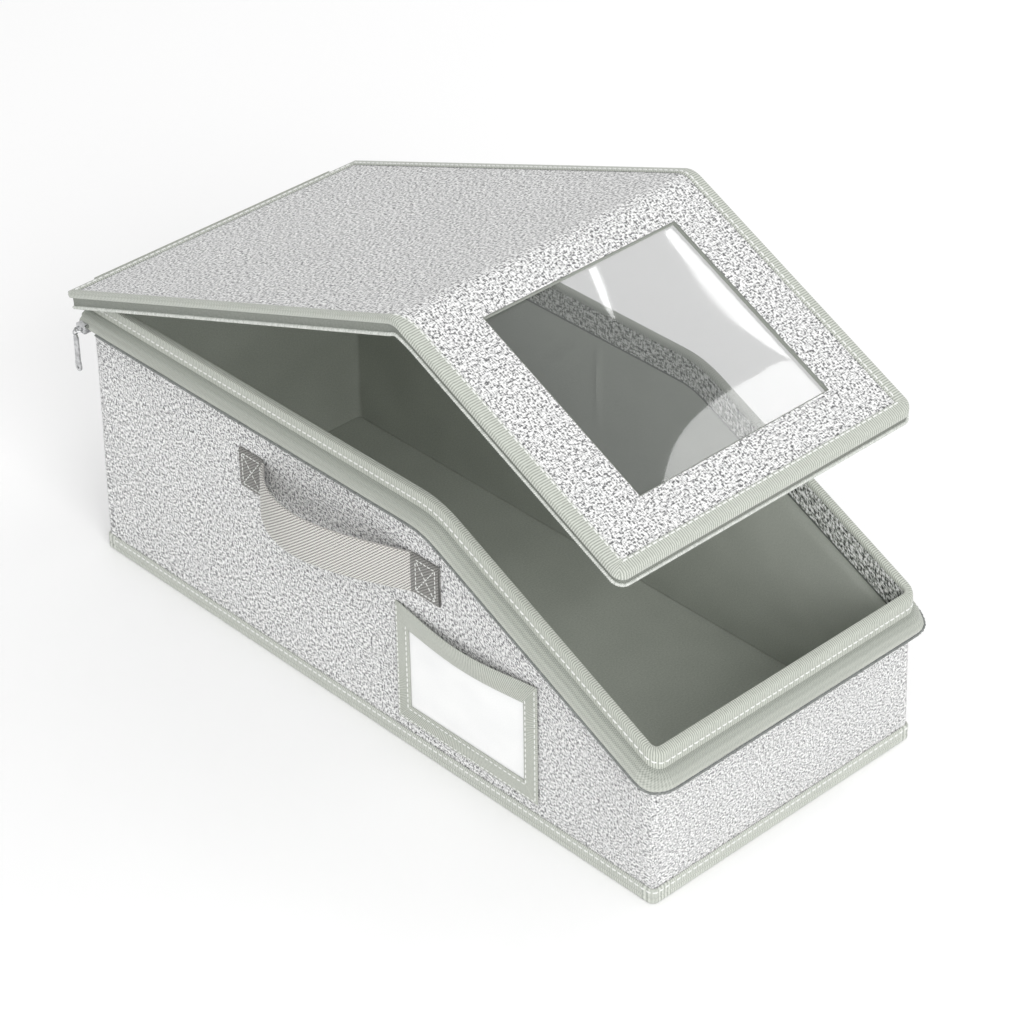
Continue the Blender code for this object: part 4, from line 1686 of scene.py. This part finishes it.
@dataclass
class LidShape:
    """Sizes of the lid and the two straight runs with a soft bend that it follows."""

    fold: Vector = field(default_factory=lambda: Vector((0.0, -0.052947, 0.310874)))
    hinge: Vector = field(default_factory=lambda: Vector((0.0, 0.2527, 0.1919)))
    rear_angle: float = math.radians(-20.5)
    front_angle: float = math.radians(25.842)
    bend: float = 0.015
    rear_reach: float = 0.327957 + 0.0022
    front_reach: float = 0.198048
    half: float = 0.1205
    front_corner: float = 0.008
    back_corner: float = 0.0012
    crossing: float = 0.015
    end_margin: float = 0.016
    step: float = 0.006
    bend_zone: float = 0.018
    bend_step: float = 0.0018
    widest_fold: float = math.radians(115.842)
    left_legs: Place = (0.0036, 0.0098)
    right_legs: Place = (0.0075, 0.0085)
    front_leg: float = 0.0076
    back_leg: float = 0.0068

    def leg(self, side: Side, s: float) -> float:
        """Width of the edge binding's top leg, which changes over the fold on the left and right.

        Args:
            side: Which side.
            s: Distance from the fold, towards the front.

        Returns:
            Width in metres.
        """
        if side in (Side.FRONT, Side.BACK):
            return self.front_leg if side is Side.FRONT else self.back_leg
        rear, slope = self.left_legs if side is Side.LEFT else self.right_legs
        return rear + (slope - rear) * ease(s, -0.012, 0.014)

    @staticmethod
    def directions(angle: float) -> tuple[Vector, Vector]:
        """Directions along a board, towards the front, and off its top."""
        across, down = math.cos(angle), math.sin(angle)
        return Vector((0.0, -across, -down)), Vector((0.0, -down, across))

    def point(self, x: float, s: float, h: float) -> Vector:
        """Point of the lid at rest.

        Args:
            x: Place across.
            s: Distance from the fold, towards the front.
            h: Height above the boards' top.

        Returns:
            The point.
        """
        turn = self.front_angle - self.rear_angle
        reach = self.bend * math.tan(turn / 2)
        angle = self.rear_angle + turn * min(max((s + reach) / (2 * reach), 0.0), 1.0)
        ahead, up = self.directions(angle)
        if abs(s) >= reach:
            spot = self.fold + ahead * s + up * h
        else:
            rear_ahead, rear_up = self.directions(self.rear_angle)
            spot = self.fold - rear_ahead * reach - rear_up * self.bend + up * (self.bend + h)
        return Vector((x, spot.y, spot.z))

    def front_end(self, h: float) -> float:
        """Where the lid ends in front at a height, so that its front face is plumb."""
        return self.front_reach - h * math.tan(self.front_angle)

    def middle_stops(self) -> list[float]:
        """Distances from the fold between the corners, close together over the bend.

        Returns:
            The distances, from the back to the front.
        """
        low, high, near = self.end_margin - self.rear_reach, self.front_reach - 0.018, self.bend_zone
        stops = spread(low, -near, self.step)[:-1] + spread(-near, near, self.bend_step)
        return stops + spread(near, high, self.step)[1:]

    def join(self, obj: bpy.types.Object) -> None:
        """Bakes a piece's placement into its mesh.

        Args:
            obj: The piece.
        """
        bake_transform(obj)

    def side_line(self, side: Side, edge: EdgePoint) -> tuple[Line, list[float]]:
        """Line along one side of the lid with half of each corner.

        Args:
            side: Which side.
            edge: Its inset, as metres and a share of the binding's leg, and its height above the boards' top.

        Returns:
            Points, and the cloth coordinate along at each of them.
        """
        def inset(which: Side, s: float) -> float:
            """Distance inside a side's edge at a distance from the fold.

            Args:
                which: Which side.
                s: Distance from the fold.

            Returns:
                Metres inside the edge.
            """
            if edge.end_inset is not None and which in (Side.FRONT, Side.BACK):
                return edge.end_inset
            return edge.inset + edge.leg * self.leg(which, s)

        def height(s: float) -> float:
            """Height there, lower on the rear board where the point asks for it."""
            return edge.height - edge.rear_drop * (1 - ease(s, -0.010, 0.020))

        def corner(turns: Sequence[float], sign_x: int, sign_s: int) -> list[tuple[float, float, float]]:
            """Corner points as (x, s, turn), with turns measured from the side edge.

            Args:
                turns: Angles from the side edge, in radians.
                sign_x: -1 on the left and 1 on the right.
                sign_s: -1 at the back and 1 in front.

            Returns:
                The corner's points.
            """
            radius = self.front_corner if sign_s > 0 else self.back_corner
            limit = self.front_end(height(1.0)) if sign_s > 0 else self.rear_reach
            inset_x = inset(Side.LEFT if sign_x < 0 else Side.RIGHT, sign_s * limit)
            inset_s = inset(Side.FRONT if sign_s > 0 else Side.BACK, 0.0)
            reach = max(radius - max(inset_x, inset_s), 0.0)
            centre_x = self.half - (radius if reach else inset_x)
            centre_s = limit - (radius if reach else inset_s / math.cos(self.front_angle))
            return [(sign_x * (centre_x + reach * math.cos(t)), sign_s * (centre_s + reach * math.sin(t)), t)
                    for t in turns]

        eighth = [math.pi / 4 * k / 4 for k in range(5)]
        if side in (Side.LEFT, Side.RIGHT):
            sign = -1 if side is Side.LEFT else 1
            spots = [(x, s, s - self.back_corner * t) for x, s, t in corner(eighth, sign, -1)[::-1]]
            spots += [(sign * (self.half - inset(side, s)), s, s) for s in self.middle_stops()]
            spots += [(x, s, s + self.front_corner * t * 0.3) for x, s, t in corner(eighth, sign, 1)]
        else:
            sign = 1 if side is Side.FRONT else -1
            quarter = [math.pi / 4 + t for t in eighth]
            left, right = corner(quarter, -1, sign), corner(quarter, 1, sign)[::-1]
            reach = self.half - self.end_margin
            spots = [(x, at, x) for x, at, _ in left]
            spots += [(x, left[-1][1], x) for x in spread(-reach, reach, self.step)]
            spots += [(x, at, x) for x, at, _ in right]
        return [self.point(x, s, height(s)) for x, s, _ in spots], [along for _, _, along in spots]

    def band(self, draft: Draft, section: Sequence[EdgePoint], sides: Sequence[Side]) -> None:
        """Adds a closed section along the given sides of the lid, mitred at the corners.

        Args:
            draft: Draft to add to.
            section: Corners of the section.
            sides: Sides to run along.
        """
        lengths = section_lengths([(edge.inset + edge.leg * self.front_leg, edge.height) for edge in section])
        for side in sides:
            lines = [self.side_line(side, edge) for edge in section]
            draft.sweep([line for line, _ in lines], [places for _, places in lines], lengths)
            # Mitred ends meet the next side, so their caps are taken off again.
            free_end = Side.BACK not in sides and side is not Side.FRONT
            caps = 1 if free_end else 2
            del draft.faces[-caps:], draft.places[-caps:]


@dataclass
class Lid:
    """Two-board lid: linen cover, undersides, window film, edge binding, hanging zip tape and hinge cloth."""

    shape: LidShape
    box: BoxShape
    finishes: Finishes
    board: float = 0.003
    cover: float = 0.0007
    cover_inset: float = 0.003
    cover_swell: float = 0.0005
    edge_roll: float = 0.0006
    edge_gap: float = 0.0014
    window_left: float = -0.1205 + 0.0485
    window_right: float = 0.1205 - 0.0385
    window_rear: float = 0.024
    window_front: float = 0.198048 - 0.0355
    film: float = 0.0006
    film_gap: float = 0.0004
    film_lap: float = 0.006
    film_wave: float = 0.00012
    turned_edge: float = 0.0008
    skirt_foot: float = -0.0064
    rear_skirt: float = 0.0032
    tape: float = 0.0008
    coil_radius: float = 0.0009
    wire: float = 0.00034
    pitch: float = 0.0013
    hinge_cloth: float = 0.0007
    hinge_margin: float = 0.012

    def build(self) -> None:
        """Builds every piece of the lid."""
        self.build_cover()
        self.build_underside(Body.LID_REAR)
        self.build_underside(Body.LID_FRONT)
        self.build_film()
        self.build_window_edge()
        self.build_binding()
        self.build_skirt()
        self.build_coil()
        self.build_hinge()

    def window(self, x: float, s: float) -> bool:
        """Whether a place on the lid lies in the window."""
        return self.window_left < x < self.window_right and self.window_rear < s < self.window_front

    def gap(self, x: float, s: float) -> float:
        """How far outside the window a place lies; less than nothing inside it."""
        return max(self.window_left - x, x - self.window_right, self.window_rear - s, s - self.window_front)

    def grid(self, s_low: float, s_high: float, half: float) -> tuple[list[float], list[float]]:
        """Columns and rows over the lid that run along the window's edges and close up over the bend.

        Args:
            s_low: First row.
            s_high: Last row.
            half: Half the width.

        Returns:
            Columns and rows.
        """
        left, right, step = self.window_left, self.window_right, self.shape.step
        columns = spread(-half, left, step)[:-1] + spread(left, right, step)[:-1] + spread(right, half, step)
        zone = self.shape.bend_zone
        inner = {mark for mark in (-zone, zone, self.window_rear, self.window_front) if s_low < mark < s_high}
        marks = sorted({s_low, s_high} | inner)
        rows: list[float] = []
        for low, high in zip(marks, marks[1:]):
            bends = max(abs(low), abs(high)) <= zone
            rows += spread(low, high, self.shape.bend_step if bends else step)[:-1]
        return columns, rows + [s_high]

    def build_cover(self) -> None:
        """One linen cover over both boards, soft over the fold and open at the window."""
        inset = self.cover_inset
        columns, rows = self.grid(-self.shape.rear_reach + inset, self.shape.front_reach - inset,
                                  self.shape.half - inset)

        def place(column: int, row: int, face: int) -> Vector:
            """Point of the cover.

            Args:
                column: Number of the column.
                row: Number of the row.
                face: 0 on top and 1 underneath.

            Returns:
                The point.
            """
            x, s = columns[column], rows[row]
            edge = min(self.shape.half - abs(x), s + self.shape.rear_reach, self.shape.front_reach - s)
            gap = self.gap(x, s)
            fade = ease(edge, 0.012, 0.04) * ease(gap, 0.0, 0.02)
            rise = self.cover_swell * fade * (drift(x, s, 5.0, 0.09) - 0.3)
            roll = self.edge_roll * (1 - ease(gap, 0.0, 0.0035)) if abs(gap) < 0.004 else 0.0
            return self.shape.point(x, s, (-self.cover if face else rise - roll))

        draft = Draft()
        draft.slab(place, columns, rows, self.window)
        cover = draft.build("lid_cloth", self.finishes.linen, Slot.LINEN)
        self.shape.join(cover)

    def build_underside(self, body: Body) -> None:
        """Lined underside of one board, cut back along the fold so that the lid can close up.

        Args:
            body: Which board.
        """
        rear = body is Body.LID_REAR
        gap = self.edge_gap
        back = math.tan(self.shape.widest_fold / 2) * self.board + 0.0003
        s_low = -self.shape.rear_reach + gap if rear else back
        s_high = -back if rear else self.shape.front_reach - 0.0002
        half, radius = self.shape.half - gap, self.shape.front_corner - gap
        columns, rows = self.grid(s_low, s_high, half)

        def place(column: int, row: int, face: int) -> Vector:
            """Point of the board.

            Args:
                column: Number of the column.
                row: Number of the row.
                face: 0 on top and 1 underneath.

            Returns:
                The point.
            """
            x, s = columns[column], rows[row]
            over = s - (self.shape.front_reach - self.shape.front_corner)
            if not rear and over > 0:
                pull = radius - math.sqrt(max(radius ** 2 - min(over, radius) ** 2, 0.0))
                x *= (half - pull * 0.98) / half
            return self.shape.point(x, s, -self.board if face else -self.cover - 0.0001)

        draft = Draft()
        draft.slab(place, columns, rows, self.window)
        name = "lid_rear_underside" if rear else "lid_front_underside"
        piece = draft.build(name, self.finishes.lining, Slot.LINING)
        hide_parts("lid_rear_board" if rear else "lid_front_board")
        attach(piece, body.value)

    def build_film(self) -> None:
        """Clear window film with slow waves."""
        lap = self.film_lap
        xs = spread(self.window_left - lap, self.window_right + lap, 0.005)
        ss = spread(self.window_rear - lap, self.window_front + lap, 0.005)

        def place(column: int, row: int, face: int) -> Vector:
            """Point of the film.

            Args:
                column: Number of the column.
                row: Number of the row.
                face: 0 on top and 1 underneath.

            Returns:
                The point.
            """
            x, s = xs[column], ss[row]
            wave = ease(-self.gap(x, s), 0.0, 0.03) * self.film_wave * drift(x, s * 0.6, 2.0, 0.11)
            top = -self.board - self.film_gap + wave
            return self.shape.point(x, s, top - (self.film if face else 0.0))

        draft = Draft()
        draft.slab(place, xs, ss)
        film = draft.build("window_film", self.finishes.film, Slot.FILM)
        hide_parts("lid_window_film")
        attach(film, Body.LID_FRONT.value)

    def build_window_edge(self) -> None:
        """Shaded turned edge of the linen round the window."""
        left, right, rear, front = self.window_left, self.window_right, self.window_rear, self.window_front
        wide, foot = self.turned_edge, -self.board - 0.0002
        inner = corners((left + wide, rear + wide), (right - wide, front - wide))
        draft = Draft()
        section = ((0.0, -0.0009), (0.55, -0.0006), (1.0, -0.0012), (1.0, foot), (0.0, foot))
        for ends in strips(corners((left, rear), (right, front)), inner):
            length = math.hypot(ends[1][0] - ends[0][0], ends[1][1] - ends[0][1])
            shares = spread(0.0, 1.0, self.shape.step / length)
            rows = [[self.shape.point(*on_strip(ends, share, across), h) for share in shares]
                    for across, h in section]
            draft.sweep(rows, [share * length for share in shares], section_lengths(section))
            # The strips meet at their mitred ends, so both caps are taken off again.
            del draft.faces[-2:], draft.places[-2:]
        edge = draft.build("window_turned_edge", self.finishes.shaded_tape, Slot.LINING)
        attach(edge, Body.LID_FRONT.value)

    def build_binding(self) -> None:
        """Ribbed binding folded round the lid's edge, with its sewn row."""
        foot = -self.board - 0.0011
        section = (EdgePoint(0.0, 0.0007, 1.0), EdgePoint(-0.0004, 0.0011, 1.0), EdgePoint(0.0, 0.00125, 0.5),
                   EdgePoint(0.0018, 0.0011), EdgePoint(0.0008, 0.0008), EdgePoint(0.0001, 0.0001),
                   EdgePoint(0.0005, -0.0004), EdgePoint(0.0, -0.0010), EdgePoint(0.0, -0.0022),
                   EdgePoint(0.0001, -0.0030), EdgePoint(0.0007, foot + 0.0003), EdgePoint(0.0016, foot),
                   EdgePoint(0.0088, foot, end_inset=0.0018),
                   EdgePoint(0.0088, foot + 0.0008, end_inset=0.0018), EdgePoint(0.0013, foot + 0.0008),
                   EdgePoint(0.0012, -0.0020), EdgePoint(0.0013, 0.0002), EdgePoint(0.0, 0.0002, 1.0))
        draft = Draft()
        self.shape.band(draft, section, (Side.LEFT, Side.FRONT, Side.RIGHT, Side.BACK))
        binding = draft.build("lid_ribbon", self.finishes.slope_binding, Slot.BINDING)
        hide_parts("lid_rear_binding", "lid_front_binding")
        self.shape.join(binding)
        seams = Draft()
        for side in (Side.LEFT, Side.FRONT, Side.RIGHT, Side.BACK):
            line, places = self.shape.side_line(side, EdgePoint(-0.0014, 0.00118, 1.0))
            first = next(i for i, at in enumerate(places) if at > -0.004) if side is Side.LEFT else 0
            self.add_seam(seams, line[first:])
        thread = seams.build("lid_stitches", self.finishes.thread, Slot.BINDING)
        self.shape.join(thread)

    def add_seam(self, seams: Draft, line: Line) -> None:
        """Adds a sewn row on top of the lid, left out where two sides meet at one point.

        Args:
            seams: Draft to add to.
            line: Line of the row.
        """
        kept = apart(line, 0.0004)
        ups = []
        for index in range(len(kept)):
            ahead = (kept[min(index + 1, len(kept) - 1)] - kept[max(index - 1, 0)]).normalized()
            across = Vector((1.0, 0.0, 0.0))
            up = across.cross(ahead) if abs(ahead.x) < 0.9 else Vector((0.0, 0.0, 1.0))
            ups.append(up.normalized() if up.z > 0 else -up.normalized())
        seams.stitches(kept, lambda index: ups[index])

    def build_skirt(self) -> None:
        """Zip tape that hangs from the lid's edge, with a dark groove above it."""
        top, foot, drop, thick = -self.board - 0.0009, self.skirt_foot, self.rear_skirt, self.tape
        middle = (top + foot) / 2
        levels = ((0.0018, top, 0.0), (0.0016, middle, drop / 2), (0.0012, foot, drop))
        section = [EdgePoint(inset, height, 0.0, lower) for inset, height, lower in levels]
        section += [EdgePoint(inset + thick, height, 0.0, lower) for inset, height, lower in levels[::-1]]
        draft = Draft()
        self.shape.band(draft, section, (Side.LEFT, Side.FRONT, Side.RIGHT))
        # The hanging tape takes the darker tape copy: painted shade under the lid's edge.
        skirt = draft.build("lid_zip_tape", self.finishes.shaded_tape, Slot.TAPE)
        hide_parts("lid_rear_tape_left", "lid_rear_tape_right", "lid_front_tape")
        self.shape.join(skirt)

    def build_coil(self) -> None:
        """Spiral teeth along the foot of the hanging tape, round the left side, front and right side."""
        edge = EdgePoint(0.0010, self.skirt_foot - self.coil_radius * 0.7, 0.0, self.rear_skirt)
        line: Line = []
        for side in (Side.LEFT, Side.FRONT, Side.RIGHT):
            points, _ = self.shape.side_line(side, edge)
            line += points[::-1] if side is Side.RIGHT else points
        kept = apart(line, 0.0001)
        draft = Draft()
        draft.teeth(kept, walked_lengths(kept), self.pitch, self.coil_radius, self.wire)
        coil = draft.build("lid_zip_teeth", self.finishes.pale_coil, Slot.COIL)
        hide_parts("lid_rear_coil_left", "lid_rear_coil_right", "lid_front_coil")
        self.shape.join(coil)

    def build_hinge(self) -> None:
        """Cloth hinge up the back, from the case to the lid's back edge."""
        half = self.box.half_width - self.hinge_margin
        low_y, low_z = self.box.half_length + 0.0019, self.shape.hinge.z - 0.026
        lid_back = self.shape.rear_reach
        low_edge = self.shape.point(0.0, -lid_back - 0.0003, -0.0042)
        top_edge = self.shape.point(0.0, -lid_back - 0.0003, 0.0010)
        path = [Vector((0, low_y, z)) for z in spread(low_z, self.shape.hinge.z - 0.0016, 0.003)]
        path += [Vector((0, low_y + 0.0003, self.shape.hinge.z - 0.0002)), low_edge,
                 (low_edge + top_edge) / 2, top_edge]
        walked = walked_lengths(path)
        xs = spread(-half, half, 0.008)
        outward = Vector((0.0, 1.0, 0.0))

        def place(column: int, row: int, face: int) -> Vector:
            """Point of the hinge cloth."""
            spot = path[row] + (Vector() if face else outward * self.hinge_cloth)
            return Vector((xs[column], spot.y, spot.z))

        draft = Draft()
        draft.slab(place, xs, walked)
        strip = draft.build("hinge_cloth", self.finishes.binding, Slot.BINDING)
        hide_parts("hinge_strip")
        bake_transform(strip)


@dataclass
class Studio:
    """Pale floor, soft lights and the camera at the photograph's angle."""

    azimuth: float = math.radians(-43.18)
    elevation: float = math.radians(34.64)
    roll: float = math.radians(-0.77)
    distance: float = 2.189
    focal_pixels: float = 3458.0
    picture_pixels: float = 1024.0
    sensor: float = 36.0
    centre: Place = (0.0134, 0.079)
    aim: Vector = field(default_factory=lambda: Vector((0.0, 0.0, 0.12)))
    floor_half: float = 6.0
    air_light: float = 0.84
    gleam_height: float = 1.5

    def build(self) -> None:
        """Sets up the camera, the floor, the lights and the world."""
        self.add_camera()
        self.add_floor()
        self.add_light("key_softbox", Vector((-1.0, -2.5, 1.7)), 1.5, 37.0)
        self.add_light("low_softbox", Vector((-2.1, -1.7, 0.7)), 1.2, 8.0)
        self.add_gleam("window_gleam_high", (1.205, -0.12), (0.34, 0.40), 2.4)
        self.add_gleam("window_gleam_low", (1.05, -0.42), (0.40, 0.28), 1.5)
        self.add_gleam("window_gleam_streak", (0.932, -0.12), (0.010, 0.08), 0.02)
        self.add_air()
        bpy.context.scene.view_settings.view_transform = "Standard"

    def add_air(self) -> None:
        """Lights the room evenly from all sides."""
        world = bpy.data.worlds.new("studio_air")
        bpy.context.scene.world = world
        world.use_nodes = True
        shade = world.node_tree.nodes["Background"]
        shade.inputs["Color"].default_value = (1.0, 1.0, 1.0, 1.0)
        shade.inputs["Strength"].default_value = self.air_light

    def add_camera(self) -> None:
        """Places the camera at the photograph's angle."""
        back = Vector((math.sin(self.azimuth) * math.cos(self.elevation),
                       -math.cos(self.azimuth) * math.cos(self.elevation), math.sin(self.elevation)))
        side = Vector((0.0, 0.0, 1.0)).cross(back).normalized()
        rise = back.cross(side)
        place = side * self.centre[0] + rise * self.centre[1] + back * self.distance
        right = side * math.cos(self.roll) + rise * math.sin(self.roll)
        up = rise * math.cos(self.roll) - side * math.sin(self.roll)
        data = bpy.data.cameras.new("camera")
        data.sensor_width = self.sensor
        data.lens = self.focal_pixels * self.sensor / self.picture_pixels
        camera = bpy.data.objects.new("camera", data)
        turn = Matrix((right, up, back)).transposed().to_4x4()
        camera.matrix_world = Matrix.Translation(place) @ turn
        bpy.context.scene.collection.objects.link(camera)
        bpy.context.scene.camera = camera

    def add_floor(self) -> None:
        """Lays the floor."""
        half = self.floor_half
        draft = Draft()
        spots = spread(-half, half, half / 2)
        rows = [[Vector((x, y, 0.0)) for x in spots] for y in spots]
        draft.sweep(rows, spots, spots, closed_section=False)
        mesh = bpy.data.meshes.new("studio_floor")
        mesh.from_pydata([tuple(point) for point in draft.points], [], draft.faces)
        mesh.materials.append(FloorFinish().make())
        floor = bpy.data.objects.new("studio_floor", mesh)
        bpy.context.scene.collection.objects.link(floor)

    def add_gleam(self, name: str, place: Place, size: Place, watts: float) -> None:
        """Adds an oval light that shows only as a gleam in glossy things, such as the window film.

        Args:
            name: Its name.
            place: Where it hangs in plan, facing down.
            size: Its size from left to right and from front to back.
            watts: Its power.
        """
        data = bpy.data.lights.new(name, "AREA")
        data.shape = "ELLIPSE"
        data.size, data.size_y = size
        data.energy = watts
        data.diffuse_factor = 0.0
        self.hang(data, Vector((*place, self.gleam_height)))

    def add_light(self, name: str, place: Vector, size: float, watts: float) -> None:
        """Adds a square softbox that faces the case.

        Args:
            name: Its name.
            place: Where it hangs.
            size: Its side in metres.
            watts: Its power.
        """
        data = bpy.data.lights.new(name, "AREA")
        data.size = size
        data.energy = watts
        lamp = self.hang(data, place)
        lamp.rotation_euler = (self.aim - place).to_track_quat("-Z", "Y").to_euler()

    def hang(self, data: bpy.types.Light, place: Vector) -> bpy.types.Object:
        """Hangs a light in the scene at a place.

        Args:
            data: The light.
            place: Where it hangs.

        Returns:
            The lamp.
        """
        lamp = bpy.data.objects.new(data.name, data)
        lamp.location = place
        bpy.context.scene.collection.objects.link(lamp)
        return lamp


def main() -> None:
    """Builds the case piece by piece."""
    logging.basicConfig(level=logging.INFO, format="%(name)s: %(message)s")
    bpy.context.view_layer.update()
    finishes = Finishes()
    box = BoxShape()
    Studio().build()
    CaseBox(box, finishes).build()
    BodyZip(box, finishes).build()
    Handle(box, finishes).build()
    LabelPocket(box, finishes).build()
    Lid(LidShape(), box, finishes).build()


if __name__ == "__main__":
    main()
